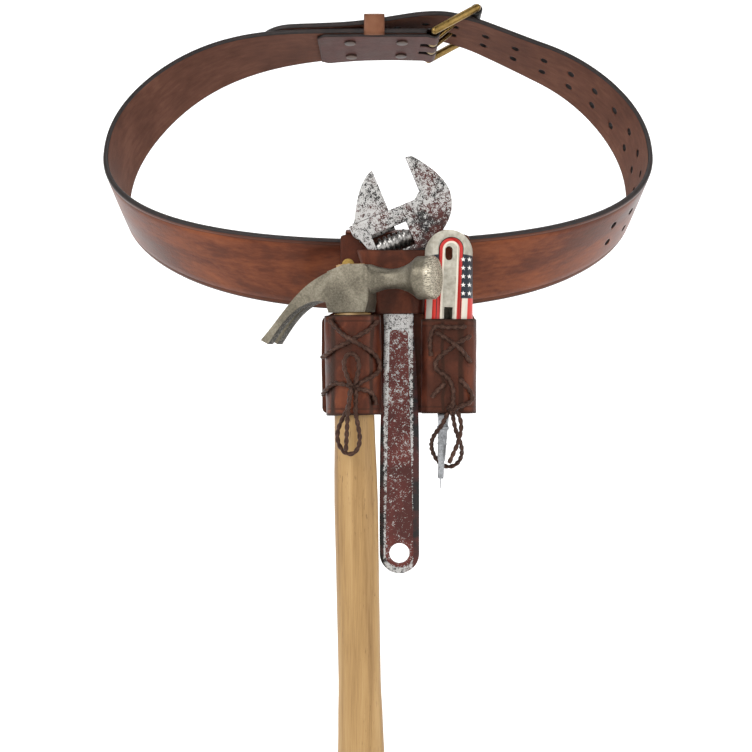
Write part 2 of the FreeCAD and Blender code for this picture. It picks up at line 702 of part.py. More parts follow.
def make_worm():
    """A knurled thumb screw: its thread is drawn as rings."""
    low, high = WORM_SPAN
    shape = cylinder(rail(low, WORM_Q), rail(high, WORM_Q), WORM_R - 1.6)
    pitch = 3.2
    count = int((high - low) / pitch)
    start = low + (high - low - (count - 1) * pitch) / 2
    for i in range(count):
        p = start + i * pitch
        shape = shape.fuse(cylinder(rail(p - 0.8, WORM_Q), rail(p + 0.8, WORM_Q), WORM_R))
    return shape.cut(cylinder(rail(low - 5, WORM_Q), rail(high + 5, WORM_Q), 1.55))


def make_worm_pin():
    return cylinder(rail(WORM_SPAN[0] - 5.5, WORM_Q), rail(WORM_SPAN[1] + 5.5, WORM_Q), 1.5)


# ------------------------------------------------------------------ knife

def knife_place():
    return FreeCAD.Placement(KNIFE_AT, FreeCAD.Rotation())


def skewed(shape):
    """Turns a piece of the blade's line to that line's slant within the handle."""
    shape = shape.copy()
    shape.rotate(V(0, 0, KNIFE_SKEW_AT), V(0, 1, 0), KNIFE_SKEW)
    return shape


def rounded_block(half_x, half_y, low, high, corner):
    shape = box((-half_x, -half_y, low), (half_x, half_y, high))
    return shape.makeFillet(corner, edges_along(shape, V(0, 0, 1)))


def make_knife_body():
    """Both halves of the handle in one piece, with a domed top."""
    half = KNIFE_W / 2
    block = rounded_block(half, KNIFE_D / 2, KNIFE_LOW, KNIFE_TOP, KNIFE_CORNER)
    centre = KNIFE_TOP - half
    dome = cylinder(V(0, -20, centre), V(0, 20, centre), half)
    shank = box((-half - 1, -20, KNIFE_LOW - 1), (half + 1, 20, centre))
    shape = block.common(dome.fuse(shank))
    taper = [(-half - 1, KNIFE_LOW - 1), (-5.0, KNIFE_LOW - 1), (-half - 1, KNIFE_LOW + 16)]
    for sign in (-1, 1):
        points = [V(sign * x, -20, z) for x, z in taper]
        shape = shape.cut(Part.Face(Part.makePolygon(points + points[:1])).extrude(V(0, 40, 0)))
    return shape


INLAY_HALF = 5.6
INLAY_TOP = KNIFE_TOP - 5.5
INLAY_T = 1.6
SLIDER_SPAN = (-30.0, -16.0)
SLIDER_TRAVEL = 22.0


def make_inlay(grow=0.0):
    """The raised channel cover along the front of the knife."""
    front = -KNIFE_D / 2
    half = INLAY_HALF + grow
    strip = box((-half, front - 0.35, KNIFE_LOW + 6), (half, front + INLAY_T + grow, INLAY_TOP - INLAY_HALF))
    cap_at = INLAY_TOP - INLAY_HALF
    cap = cylinder(V(0, front - 0.35, cap_at), V(0, front + INLAY_T + grow, cap_at),
                   half)
    return strip.fuse(cap).removeSplitter()


def thumb_slot():
    low, high = SLIDER_SPAN
    return box((-2.6, -20, low - 0.6), (2.6, 0.0, high + SLIDER_TRAVEL + 0.6))


def lanyard_hole():
    z = INLAY_TOP - 11
    hole = box((-2.2, -20, z), (2.2, 20, z + 4.2))
    ends = [cylinder(V(0, -20, height), V(0, 20, height), 2.2) for height in (z, z + 4.2)]
    return hole.fuse(ends)


def carrier_channel():
    return box((-2.4, -5.0, -120), (2.4, 5.0, SLIDER_SPAN[1] + SLIDER_TRAVEL + 1.2))


NOSE_PROFILE = ((4.4, KNIFE_LOW - 0.2), (2.7, -72.0), (2.3, -87.0), (1.8, -88.0), (1.75, -97.6),
                (1.5, -98.6))
NOSE_BANDS = ((3.6, 6.6, -68.4, 1.8), (2.9, 6.45, -74.1, 0.8), (2.8, 6.45, -77.6, 0.8))


def make_nose():
    """The metal nose that guides the blade, narrowing downwards in two steps."""
    outline = [V(x, -6.2, z) for x, z in NOSE_PROFILE]
    outline += [V(-x, -6.2, z) for x, z in NOSE_PROFILE[::-1]]
    shape = Part.Face(Part.makePolygon(outline + outline[:1])).extrude(V(0, 12.4, 0))
    for half_x, half_y, low, height in NOSE_BANDS:
        shape = shape.fuse(box((-half_x, -half_y, low), (half_x, half_y, low + height)))
    slot = box((-0.75, -5.2, -120), (0.75, 5.2, -40))
    return shape.cut(slot)


def make_blade():
    corners = [(-4.6, -46.5), (4.6, -46.5), (4.6, -87.5), (-4.6, -104.5)]
    outline = [V(-0.35, y, z) for y, z in corners]
    return Part.Face(Part.makePolygon(outline + outline[:1])).extrude(V(0.7, 0, 0))


def make_carrier():
    low, high = SLIDER_SPAN
    stem = box((-1.9, -4.6, -46.5), (1.9, 4.6, high))
    return stem.fuse(box((-1.6, -KNIFE_D / 2 + 0.2, low + 3), (1.6, -4.6, high - 3)))


def make_slider():
    low, high = SLIDER_SPAN
    front = -KNIFE_D / 2
    shape = box((-2.3, front - 0.3, low), (2.3, front + 0.2, high))
    for i in range(5):
        z = low + 3 + i * 2
        shape = shape.cut(box((-2.3, front - 0.4, z - 0.35), (2.3, front - 0.1, z + 0.35)))
    return shape


def make_pocket():
    high, low = POCKET_SPAN
    half_x = KNIFE_W / 2 + POCKET_GAP
    half_y = KNIFE_D / 2 + POCKET_GAP
    outer = rounded_block(half_x + POCKET_T, half_y + POCKET_T, low, high, KNIFE_CORNER + 1.5)
    return outer.cut(rounded_block(half_x, half_y, low - 1, high + 1, KNIFE_CORNER))


def make_pocket_welt():
    block = box((28.5, -108.6, -176.0), (58.0, PANEL_FRONT, -121.5))
    half_x = KNIFE_W / 2 + POCKET_GAP + POCKET_T
    half_y = KNIFE_D / 2 + POCKET_GAP + POCKET_T
    core = placed(rounded_block(half_x, half_y, -80, 30, KNIFE_CORNER + 1.5), knife_place())
    rest = block.cut(core)
    return max(rest.Solids, key=lambda solid: solid.BoundBox.YMax)


# ------------------------------------------------------------------ laces

def cord(name, points, diameter=LACE_D):
    """A tube along straight runs and tangent arcs, each arc as large as its two runs allow."""
    points = [V(*point) for point in points]
    runs = [b.sub(a).Length for a, b in zip(points, points[1:])]
    edges = []
    radii = []
    total = 0.0
    at = points[0]
    for i in range(1, len(points) - 1):
        d0 = unit(points[i].sub(points[i - 1]))
        d1 = unit(points[i + 1].sub(points[i]))
        turn = d0.getAngle(d1)
        setback = 0.45 * min(runs[i - 1], runs[i])
        radius = setback / math.tan(turn / 2)
        radii.append(radius)
        enter = points[i].sub(V(d0).multiply(setback))
        leave = points[i].add(V(d1).multiply(setback))
        inward = unit(V(d1).sub(d0))
        middle = points[i].add(V(inward).multiply(radius / math.cos(turn / 2) - radius))
        edges.append(Part.LineSegment(at, enter).toShape())
        edges.append(Part.Arc(enter, middle, leave).toShape())
        total += enter.sub(at).Length + radius * turn
        at = leave
    edges.append(Part.LineSegment(at, points[-1]).toShape())
    total += points[-1].sub(at).Length
    path = Part.Wire(edges)
    start = unit(points[1].sub(points[0]))
    ring = Part.Wire(Part.Circle(points[0], start, diameter / 2).toShape())
    tube = path.makePipeShell([ring], True, False, 2)
    wanted = math.pi * diameter ** 2 / 4 * total
    print(f"{name:22s} length {total:.1f} radii {[round(r, 1) for r in radii]} "
          f"volume ratio {tube.Volume / wanted:.4f}")
    return tube


SLEEVE_FRONT = 16.2         # direction that faces the front, in the hammer's turned frame
LACE_LIFT = LACE_D / 2 + 0.6
CROSS_LIFT = LACE_LIFT + LACE_D + 1.6


def on_sleeve(angle, z, lift=LACE_LIFT):
    """A point outside the hammer sleeve by its angle from the front, to the right."""
    a = SLEEVE_HALF[0] + SLEEVE_T + lift
    b = SLEEVE_HALF[1] + SLEEVE_T + lift
    turn = math.radians(angle + SLEEVE_FRONT)
    return hammer_place().multVec(V(a * math.sin(turn), -b * math.cos(turn), z))


def on_pocket(x, z, lift=LACE_LIFT):
    """A point in front of the knife pocket, following its rounded corners."""
    half_x = KNIFE_W / 2 + POCKET_GAP + POCKET_T
    half_y = KNIFE_D / 2 + POCKET_GAP + POCKET_T
    corner = KNIFE_CORNER + 1.5
    past = max(0.0, abs(x - KNIFE_AT.x) - (half_x - corner))
    reach = corner + lift
    drop = reach - math.sqrt(reach * reach - min(past, reach * 0.95) ** 2)
    return V(x, KNIFE_AT.y - half_y - lift + drop, z)


HAMMER_LACES = {
    "hammer_lace_over": [(-47, -18.5), (-25, -26.5), (0, -32.0, CROSS_LIFT), (23, -36.5), (44, -40.8),
                         (58, -46.2), (56, -51.0), (37, -54.2), (17, -56.6), (3, -60.0, 3.4)],
    "hammer_lace_under": [(55, -20.0), (36, -25.0), (13, -28.8), (-11, -33.6), (-34, -36.4), (-57, -40.2),
                          (-78, -42.0)],
    "hammer_lace_left": [(-86, -65.0), (-61, -61.4), (-37, -57.4), (-16, -58.6), (1, -60.0, 3.4)],
    "hammer_lace_right": [(3, -61.4, 3.4), (22, -61.9), (42, -65.6), (44, -71.6)],
}
KNIFE_LACES = {
    "knife_lace_top": [(54.0, -125.4), (44.2, -126.4), (35.4, -124.6), (32.2, -129.2), (31.5, -136.6),
                       (32.3, -143.4)],
    "knife_lace_over": [(35.0, -128.6), (41.4, -132.4), (47.4, -136.9, CROSS_LIFT), (53.0, -141.8),
                        (56.6, -147.4)],
    "knife_lace_under": [(57.0, -131.0), (50.6, -134.2), (43.6, -139.4), (38.0, -143.2), (34.2, -148.2),
                         (36.0, -152.6), (41.0, -154.6), (45.0, -160.4), (46.2, -167.2),
                         (45.4, -176.0, 4.2)],
    "knife_lace_left": [(41.4, -160.0), (36.8, -163.4), (32.6, -168.8)],
    "knife_lace_right": [(49.6, -157.0), (54.4, -162.2), (57.8, -167.4), (57.2, -171.6), (52.2, -173.2),
                         (46.0, -176.0, 4.2)],
}
HAMMER_KNOT = (-15.3, -134.3, -162.3)
KNIFE_KNOT = (45.4, -124.8, -176.2)
KNOT_R = 4.2

# free cords, from their knot and back to it or to a bare end
FREE_CORDS = {
    "hammer_bow_up": [(-16.6, -135.3, -161.2), (-19.0, -136.1, -155.4), (-21.0, -135.9, -149.5),
                      (-20.2, -136.3, -144.2), (-16.4, -135.9, -141.2), (-12.4, -136.3, -144.2),
                      (-11.4, -135.9, -149.5), (-12.6, -136.1, -155.4), (-14.2, -135.3, -161.2)],
    "hammer_bow_down": [(-17.1, -135.3, -164.0), (-17.3, -135.7, -170.8), (-19.4, -135.5, -177.6),
                        (-22.8, -135.7, -183.6), (-25.0, -135.5, -190.2), (-24.2, -135.6, -197.2),
                        (-20.2, -135.8, -202.6), (-15.0, -135.5, -203.2), (-11.6, -135.7, -198.6),
                        (-11.0, -135.5, -191.8), (-12.4, -135.8, -184.8), (-13.8, -135.5, -177.6),
                        (-13.6, -135.7, -170.8), (-13.5, -135.3, -164.0)],
    "hammer_bow_tail": [(-16.2, -138.0, -163.4), (-17.4, -139.7, -169.6), (-18.6, -139.5, -180.4),
                        (-19.0, -139.7, -190.4), (-19.6, -139.4, -201.0)],
    "knife_bow_loop": [(42.6, -126.4, -177.8), (39.8, -122.8, -184.8), (35.0, -119.0, -190.4),
                       (32.6, -113.6, -195.4), (32.8, -107.6, -200.8), (35.4, -103.2, -206.4),
                       (39.0, -101.6, -210.4), (43.6, -101.8, -212.0), (48.0, -104.2, -210.4),
                       (51.0, -108.4, -206.4), (51.6, -113.6, -200.6), (49.8, -118.2, -194.6),
                       (46.8, -122.2, -187.6), (45.6, -124.8, -179.6)],
    "knife_bow_tail": [(48.2, -127.6, -177.0), (50.8, -129.0, -183.0), (50.4, -128.4, -190.0),
                       (48.6, -127.2, -196.8), (45.8, -126.6, -203.0), (43.2, -126.8, -208.8)],
}


def lace_shapes():
    shapes = {}
    for name, route in HAMMER_LACES.items():
        shapes[name] = cord(name, [on_sleeve(*place) for place in route])
    for name, route in KNIFE_LACES.items():
        shapes[name] = cord(name, [on_pocket(*place) for place in route])
    for name, route in FREE_CORDS.items():
        shapes[name] = cord(name, route)
    return shapes


def save_hung(name, shape):
    """Moves a piece from the holster's frame to the ring's and saves it."""
    shape = shape.copy()
    shape.translate(HANG)
    save(name, shape)


def main():
    os.makedirs("parts", exist_ok=True)
    print(f"perimeter {PERIMETER:.1f}")
    prongs = [make_prong(row) for row in HOLE_ROWS]
    keeper = make_keeper()
    fold_rivets = [make_fold_rivet(*place) for place in FOLD_RIVETS]
    prong_ways = [make_prong(row, PRONG_WAY) for row in HOLE_ROWS]
    strap = make_strap().cut(strap_punches() + prong_ways + fold_rivets)
    keeper = keeper.cut(strap)
    fold = make_fold().cut([keeper, strap] + fold_rivets)
    save("belt_strap", strap)
    save("buckle_fold", fold)
    save("keeper_loop", keeper)
    for i, rivet in enumerate(fold_rivets):
        save(f"fold_rivet_{i + 1}", rivet)
    save("buckle_frame", make_frame())
    save("buckle_roller", make_roller())
    save("prong_upper", prongs[0])
    save("prong_lower", prongs[1])

    studs = {"stud_front": make_stud(-18.6, -86.6, PANEL_BACK, PANEL_FRONT, 3.9, True)}
    for i, x in enumerate((-8.0, 16.0, 42.0)):
        back = PANEL_BACK + FLAP_T
        studs[f"stud_back_{i + 1}"] = make_stud(x, -142.5, back, PANEL_FRONT, RIVET_HEAD_R, False)
    panel = make_panel()
    flap = make_flap()
    for stud in studs.values():
        panel = panel.cut(stud)
        flap = flap.cut(stud)
    save_hung("holster_panel", panel)
    save_hung("holster_flap", flap)
    for name, stud in studs.items():
        save_hung(name, stud)
    save_hung("wrench_loop", make_wrench_loop())
    knots = {"hammer_knot": HAMMER_KNOT, "knife_knot": KNIFE_KNOT}
    knots = {name: Part.makeSphere(KNOT_R, V(*place)) for name, place in knots.items()}
    for name, shape in lace_shapes().items():
        save_hung(name, shape.cut(list(knots.values())))
    sleeve = placed(make_sleeve(), hammer_place())
    pocket = placed(make_pocket(), knife_place())
    for name, knot in knots.items():
        save_hung(name, knot.cut([sleeve, pocket]))
    save_hung("hammer_sleeve", sleeve)
    save_hung("sleeve_welt", make_sleeve_welt())
    save_hung("knife_pocket", pocket)
    save_hung("pocket_welt", make_pocket_welt())

    place = hammer_place()
    wood_wedge = make_wedge(8.2, 1.0, 12)
    steel_wedge = make_wedge(0.7, 5.0, 10)
    wood_wedge = wood_wedge.cut(steel_wedge)
    handle = make_handle().cut(wood_wedge).cut(steel_wedge)
    save_hung("hammer_handle", placed(handle, place))
    save_hung("hammer_head", placed(make_head(), place))
    save_hung("hammer_wood_wedge", placed(wood_wedge, place))
    save_hung("hammer_steel_wedge", placed(steel_wedge, place))

    pin = make_worm_pin()
    save_hung("wrench_body", make_wrench_body().cut(pin))
    save_hung("wrench_jaw", make_wrench_jaw())
    save_hung("wrench_worm", make_worm())
    save_hung("worm_pin", pin)

    place = knife_place()
    inlay = make_inlay()
    holes = lanyard_hole().fuse([skewed(thumb_slot()), skewed(carrier_channel())])
    body = make_knife_body().cut(inlay).cut(holes)
    left = body.common(box((-60, -60, -200), (0, 60, 200)))
    right = body.common(box((0, -60, -200), (60, 60, 200)))
    save_hung("knife_shell_left", placed(left, place))
    save_hung("knife_shell_right", placed(right, place))
    save_hung("knife_inlay", placed(inlay.cut(holes), place))
    save_hung("knife_nose", placed_by(skewed(make_nose()), KNIFE_AT))
    save_hung("knife_carrier", placed_by(skewed(make_carrier()), KNIFE_AT))
    save_hung("knife_slider", placed_by(skewed(make_slider()), KNIFE_AT))
    save_hung("knife_blade", placed_by(skewed(make_blade()), KNIFE_AT))


main()
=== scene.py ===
import math

import bmesh
import bpy
from mathutils import Matrix, Vector, noise


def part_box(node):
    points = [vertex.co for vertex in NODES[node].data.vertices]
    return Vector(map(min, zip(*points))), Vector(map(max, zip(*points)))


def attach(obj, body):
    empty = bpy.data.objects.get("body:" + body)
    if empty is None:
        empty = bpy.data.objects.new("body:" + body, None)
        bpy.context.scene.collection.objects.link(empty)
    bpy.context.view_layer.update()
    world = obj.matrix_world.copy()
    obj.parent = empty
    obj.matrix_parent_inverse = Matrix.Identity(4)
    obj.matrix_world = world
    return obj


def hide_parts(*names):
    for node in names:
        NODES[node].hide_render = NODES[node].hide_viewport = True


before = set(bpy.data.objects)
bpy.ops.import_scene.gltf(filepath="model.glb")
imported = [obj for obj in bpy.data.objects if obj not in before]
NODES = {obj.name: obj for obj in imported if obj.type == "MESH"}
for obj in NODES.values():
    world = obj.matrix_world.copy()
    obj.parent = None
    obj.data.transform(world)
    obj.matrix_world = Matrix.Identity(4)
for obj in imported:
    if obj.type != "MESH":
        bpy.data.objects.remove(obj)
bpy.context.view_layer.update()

MM = 0.001
FLOOR_Z = -0.46
FLOOR_SIDES = 48
HAMMER_TURN = 19.5                  # the hammer's face is turned to the front by this angle
HANG = Vector((0, 6.0, -8.5))       # the holster's own origin, in mm from the ring's centre
scene = bpy.context.scene


# -------------------- helpers

def linked(name, data):
    obj = bpy.data.objects.new(name, data)
    scene.collection.objects.link(obj)
    return obj


def mesh_of(name, bm, *mats):
    """A mesh with these materials from bm, which is freed."""
    mesh = bpy.data.meshes.new(name)
    bm.to_mesh(mesh)
    bm.free()
    for mat in mats:
        mesh.materials.append(mat)
    return mesh


# -------------------- camera, light, floor

def place_camera():
    data = bpy.data.cameras.new("camera")
    data.sensor_width = 36.0
    data.lens = 147.53
    data.clip_end = 30.0
    cam = linked("camera", data)
    cam.location = (-0.0013, -2.0, -0.1641)
    cam.rotation_euler = (math.radians(90), 0, 0)
    scene.camera = cam


def area_light(name, place, target, size, power):
    data = bpy.data.lights.new(name, "AREA")
    data.shape = "RECTANGLE"
    data.size = size[0]
    data.size_y = size[1]
    data.energy = power
    lamp = linked(name, data)
    lamp.location = place
    lamp.rotation_euler = (Vector(target) - Vector(place)).to_track_quat("-Z", "Y").to_euler()


def light_scene():
    world = bpy.data.worlds.new("studio")
    world.use_nodes = True
    sky = world.node_tree.nodes["Background"]
    sky.inputs["Color"].default_value = (1.0, 1.0, 1.0, 1)
    sky.inputs["Strength"].default_value = 0.22
    scene.world = world
    scene.view_settings.view_transform = "Standard"
    area_light("key", (-1.5, -1.9, 1.5), (0, 0, -0.1), (1.0, 1.2), 34)
    area_light("fill", (1.9, -1.7, 0.7), (0, 0, -0.1), (0.8, 1.6), 14)
    area_light("top", (0.1, 0.4, 2.2), (0, 0, -0.1), (1.4, 1.4), 16)
    area_light("back", (0.6, 2.2, 0.9), (0, 0, 0), (1.2, 1.0), 7)


def floor_sweep():
    """A pale floor that curves up into a pale backdrop on every side."""
    bm = bmesh.new()
    profile = [(2.2, FLOOR_Z), (2.6, -0.40), (2.9, -0.2), (3.05, 0.1), (3.1, 3.2)]
    turns = [2 * math.pi * i / FLOOR_SIDES for i in range(FLOOR_SIDES)]
    rings = [[bm.verts.new((r * math.sin(a), r * math.cos(a), z)) for a in turns] for r, z in profile]
    hub = bm.verts.new((0, 0, FLOOR_Z))
    for i in range(FLOOR_SIDES):
        k = (i + 1) % FLOOR_SIDES
        bm.faces.new((hub, rings[0][i], rings[0][k]))
        for low, high in zip(rings, rings[1:]):
            bm.faces.new((low[i], high[i], high[k], low[k]))
    mat = bpy.data.materials.new("floor_pale")
    mat.use_nodes = True
    bsdf = mat.node_tree.nodes["Principled BSDF"]
    bsdf.inputs["Base Color"].default_value = (0.60, 0.60, 0.60, 1)
    bsdf.inputs["Roughness"].default_value = 0.9
    bsdf.inputs["Emission Color"].default_value = (1, 1, 1, 1)
    bsdf.inputs["Emission Strength"].default_value = 0.66
    obj = linked("floor", mesh_of("floor", bm, mat))
    shade(obj)


# -------------------- shader nodes

INK = (0.007, 0.003, 0.002)         # dark edge paint
POUCH_TONES = ((0.010, 0.003, 0.002), (0.038, 0.010, 0.006), (0.105, 0.028, 0.013))


class Shader:
    """A material under construction: each method adds a node and gives back its output."""

    def __init__(self, name, **sockets):
        self.mat = bpy.data.materials.new(name)
        self.mat.use_nodes = True
        self.tree = self.mat.node_tree
        self.bsdf = self.tree.nodes["Principled BSDF"]
        self.place = self.add("ShaderNodeTexCoord").outputs["Object"]
        for key, value in sockets.items():
            self.bsdf.inputs[key.replace("_", " ")].default_value = value

    def add(self, kind, inputs=None, **settings):
        """A new node with these settings, and inputs by name or number."""
        node = self.tree.nodes.new(kind)
        for key, value in settings.items():
            setattr(node, key, value)
        for key, value in (inputs or {}).items():
            self.feed(node.inputs[key], value)
        return node

    def feed(self, socket, value):
        if isinstance(value, bpy.types.NodeSocket):
            self.tree.links.new(value, socket)
        else:
            socket.default_value = value

    def math(self, operation, a, b=0.0):
        return self.add("ShaderNodeMath", {0: a, 1: b}, operation=operation).outputs[0]

    def times(self, a, b):
        return self.math("MULTIPLY", a, b)

    def plus(self, a, b):
        return self.math("ADD", a, b)

    def minus(self, a, b):
        return self.math("SUBTRACT", a, b)

    def size(self, a):
        return self.math("ABSOLUTE", a)

    def run_map(self):
        """The swept pieces' map: along their run, and round their section."""
        return self.add("ShaderNodeUVMap", uv_map="run").outputs[0]

    def stretched(self, scale, source=None, turn=(0, 0, 0)):
        inputs = {"Vector": source or self.place, "Rotation": turn, "Scale": scale}
        return self.add("ShaderNodeMapping", inputs).outputs[0]

    def noise(self, scale, detail=4.0, rough=0.55, source=None, warp=0.0):
        inputs = {"Vector": source or self.place, "Scale": scale, "Detail": detail,
                  "Roughness": rough, "Distortion": warp}
        return self.add("ShaderNodeTexNoise", inputs).outputs[0]

    def cells(self, scale):
        inputs = {"Vector": self.place, "Scale": scale}
        return self.add("ShaderNodeTexVoronoi", inputs).outputs["Distance"]

    def axis(self, index, source=None):
        return self.add("ShaderNodeSeparateXYZ", {0: source or self.place}).outputs[index]

    def facing(self, index):
        """One component of the surface's own direction."""
        return self.axis(index, self.add("ShaderNodeTexCoord").outputs["Normal"])

    def ramp(self, fac, stops):
        node = self.add("ShaderNodeValToRGB", {0: fac})
        ends = node.color_ramp.elements
        for place, color in stops[1:-1]:
            ends.new(place).color = (*color, 1)
        for item, (place, color) in ((ends[0], stops[0]), (ends[len(ends) - 1], stops[-1])):
            item.position, item.color = place, (*color, 1)
        return node.outputs[0]

    def grey(self, fac, low, high):
        """A roughness that goes from low to high as fac goes from 0.3 to 0.7."""
        return self.ramp(fac, [(0.3, (low,) * 3), (0.7, (high,) * 3)])

    def step(self, value, low, high, start=0.0, end=1.0):
        """start under low, end over high, and a straight climb between."""
        inputs = {"Value": value, "From Min": low, "From Max": high, "To Min": start, "To Max": end}
        return self.add("ShaderNodeMapRange", inputs).outputs[0]

    def mix(self, fac, a, b):
        a, b = ((*side, 1) if isinstance(side, tuple) else side for side in (a, b))
        return self.add("ShaderNodeMix", {0: fac, 6: a, 7: b}, data_type="RGBA").outputs[2]

    def bump(self, height, strength, depth, before=None):
        inputs = {"Strength": strength, "Distance": depth, "Height": height}
        if before is not None:
            inputs["Normal"] = before
        return self.add("ShaderNodeBump", inputs).outputs[0]

    def done(self, color=None, rough=None, normal=None, metal=None):
        for name, value in (("Base Color", color), ("Roughness", rough), ("Normal", normal),
                            ("Metallic", metal)):
            if value is not None:
                self.feed(self.bsdf.inputs[name], value)
        return self.mat


def leather(name, dark, mid, light, rough=(0.34, 0.55), coat=0.1, grain=650.0, blotch=22.0, depth=0.00016,
            gap_shade_lines=(), rims=None):
    """Tanned leather: blotches of dye, pores and fine creases.

    The upright lines, each (x, half width), are painted shade where the flap edges shade the gaps between
    them; rims are the two heights of dark painted edges.
    """
    sh = Shader(name, Coat_Weight=coat, Coat_Roughness=0.24, Specular_IOR_Level=0.35,
                Specular_Tint=(1.0, 0.42, 0.26, 1.0))
    patches = sh.noise(blotch, 5.0, 0.6, warp=0.6)
    streaks = sh.noise(1.0, 3.0, 0.5, sh.stretched((160, 160, 45)))
    tone = sh.plus(sh.times(patches, 0.7), sh.times(streaks, 0.3))
    color = sh.ramp(tone, [(0.34, dark), (0.5, mid), (0.66, light)])
    edge = sh.add("ShaderNodeNewGeometry").outputs["Pointiness"]
    color = sh.mix(sh.step(edge, 0.52, 0.60), color, tuple(c * 0.45 for c in dark))
    # painted shade: dark upright lines in the gaps between the flap edges
    for place, half in gap_shade_lines:
        wander = sh.times(sh.minus(sh.noise(60.0, 3.0), 0.5), 0.004)
        away = sh.size(sh.minus(sh.plus(sh.axis(0), wander), place))
        color = sh.mix(sh.step(away, half, half * 0.45), color, (0.006, 0.003, 0.002))
    if rims:
        height = sh.axis(2)
        near = sh.math("MINIMUM", sh.minus(height, rims[0]), sh.minus(rims[1], height))
        color = sh.mix(sh.step(near, 0.0024, 0.0010), color, INK)
        crease = sh.size(sh.minus(near, 0.0042))
        color = sh.mix(sh.times(sh.step(crease, 0.0008, 0.0002), 0.7), color, INK)
    pores = sh.cells(grain)
    creases = sh.noise(140.0, 6.0, 0.65, warp=1.2)
    normal = sh.bump(pores, 0.35, depth)
    normal = sh.bump(creases, 0.4, depth * 2.5, normal)
    return sh.done(color, sh.step(patches, 0.3, 0.7, *rough), normal)


def metal(name, dark, light, rough=0.35, grain=900.0, wear=0.3, bump=0.00006, metallic=1.0):
    """Worn metal: cloudy tone, fine pits and scratches."""
    sh = Shader(name)
    clouds = sh.noise(55.0, 6.0, 0.6, warp=0.4)
    fine = sh.noise(grain, 3.0, 0.7)
    tone = sh.plus(sh.times(clouds, 1 - wear), sh.times(fine, wear))
    color = sh.ramp(tone, [(0.36, dark), (0.64, light)])
    normal = sh.bump(fine, 0.4, bump)
    shine = sh.grey(tone, rough * 0.8, rough * 1.25)
    return sh.done(color, shine, normal, metallic)


def thong_leather(name):
    """Rolled and twisted thong: ridges run round the cord along its own length."""
    sh = Shader(name, Specular_IOR_Level=0.3, Specular_Tint=(1.0, 0.6, 0.45, 1.0))
    uv = sh.run_map()
    fibres = sh.noise(1.0, 4.0, 0.6, sh.stretched((900, 2600, 1), uv, (0, 0, 0.6)))
    tone = sh.noise(160.0, 4.0, 0.6)
    both = sh.plus(sh.times(fibres, 0.45), sh.times(tone, 0.55))
    color = sh.ramp(both, [(0.36, (0.010, 0.005, 0.004)), (0.52, (0.030, 0.015, 0.011)),
                           (0.68, (0.090, 0.050, 0.038))])
    normal = sh.bump(fibres, 0.6, 0.00025)
    return sh.done(color, sh.step(both, -0.2, 1.3), normal)


def strap_outer():
    sh = Shader("strap_outer", Coat_Weight=0.10, Coat_Roughness=0.22, Specular_IOR_Level=0.4,
                Specular_Tint=(1.0, 0.45, 0.28, 1.0))
    uv = sh.run_map()
    patches = sh.noise(1.0, 5.0, 0.6, sh.stretched((14, 38, 1), uv), warp=0.5)
    fine = sh.noise(1.0, 4.0, 0.6, sh.stretched((120, 420, 1), uv))
    tone = sh.plus(sh.times(patches, 0.75), sh.times(fine, 0.25))
    color = sh.ramp(tone, [(0.32, (0.018, 0.005, 0.003)), (0.48, (0.062, 0.014, 0.006)),
                           (0.70, (0.185, 0.050, 0.017))])
    across = sh.axis(1, uv)
    near = sh.math("MINIMUM", across, sh.minus(0.050, across))
    color = sh.mix(sh.step(near, 0.0040, 0.0012), color, (0.030, 0.012, 0.009))
    crease = sh.size(sh.minus(near, 0.0034))
    color = sh.mix(sh.times(sh.step(crease, 0.0006, 0.0001), 0.6), color, (0.020, 0.008, 0.006))
    pores = sh.cells(620.0)
    normal = sh.bump(pores, 0.3, 0.00014)
    normal = sh.bump(sh.noise(120.0, 6.0, 0.65, warp=1.0), 0.35, 0.0004, normal)
    return sh.done(color, sh.grey(patches, 0.30, 0.46), normal)


def strap_inner():
    sh = Shader("strap_inner", Specular_IOR_Level=0.2, Specular_Tint=(1.0, 0.5, 0.35, 1.0))
    uv = sh.run_map()
    fibres = sh.noise(1.0, 5.0, 0.65, sh.stretched((90, 300, 1), uv), warp=0.4)
    patches = sh.noise(30.0, 4.0, 0.55)
    tone = sh.plus(sh.times(fibres, 0.45), sh.times(patches, 0.55))
    color = sh.ramp(tone, [(0.34, (0.052, 0.020, 0.013)), (0.52, (0.084, 0.035, 0.023)),
                           (0.68, (0.122, 0.055, 0.037))])
    normal = sh.bump(sh.noise(900.0, 3.0, 0.7), 0.5, 0.00025)
    return sh.done(color, sh.grey(tone, 0.72, 0.86), normal)


def strap_edge():
    sh = Shader("strap_edge", Specular_IOR_Level=0.3)
    tone = sh.noise(300.0, 4.0, 0.6)
    color = sh.ramp(tone, [(0.35, (0.005, 0.003, 0.003)), (0.7, (0.018, 0.010, 0.008))])
    return sh.done(color, sh.grey(tone, 0.38, 0.6), sh.bump(tone, 0.4, 0.0003))


def wood():
    sh = Shader("hammer_wood", Coat_Weight=0.08, Coat_Roughness=0.3, Specular_IOR_Level=0.25)
    bands = sh.noise(1.0, 4.0, 0.55, sh.stretched((130, 130, 5)), warp=0.6)
    fibre = sh.noise(1.0, 5.0, 0.7, sh.stretched((1300, 1300, 40)))
    tone = sh.plus(sh.times(bands, 0.65), sh.times(fibre, 0.35))
    color = sh.ramp(tone, [(0.34, (0.205, 0.112, 0.038)), (0.5, (0.315, 0.190, 0.072)),
                           (0.68, (0.405, 0.262, 0.115))])
    flecks = sh.noise(1.0, 2.0, 0.5, sh.stretched((1500, 1500, 170)))
    zones = sh.noise(28.0, 3.0, 0.5)
    mark = sh.times(sh.step(flecks, 0.64, 0.70), sh.step(zones, 0.45, 0.6))
    color = sh.mix(sh.times(mark, 0.75), color, (0.075, 0.034, 0.014))
    return sh.done(color, sh.grey(tone, 0.36, 0.5), sh.bump(fibre, 0.25, 0.00012))


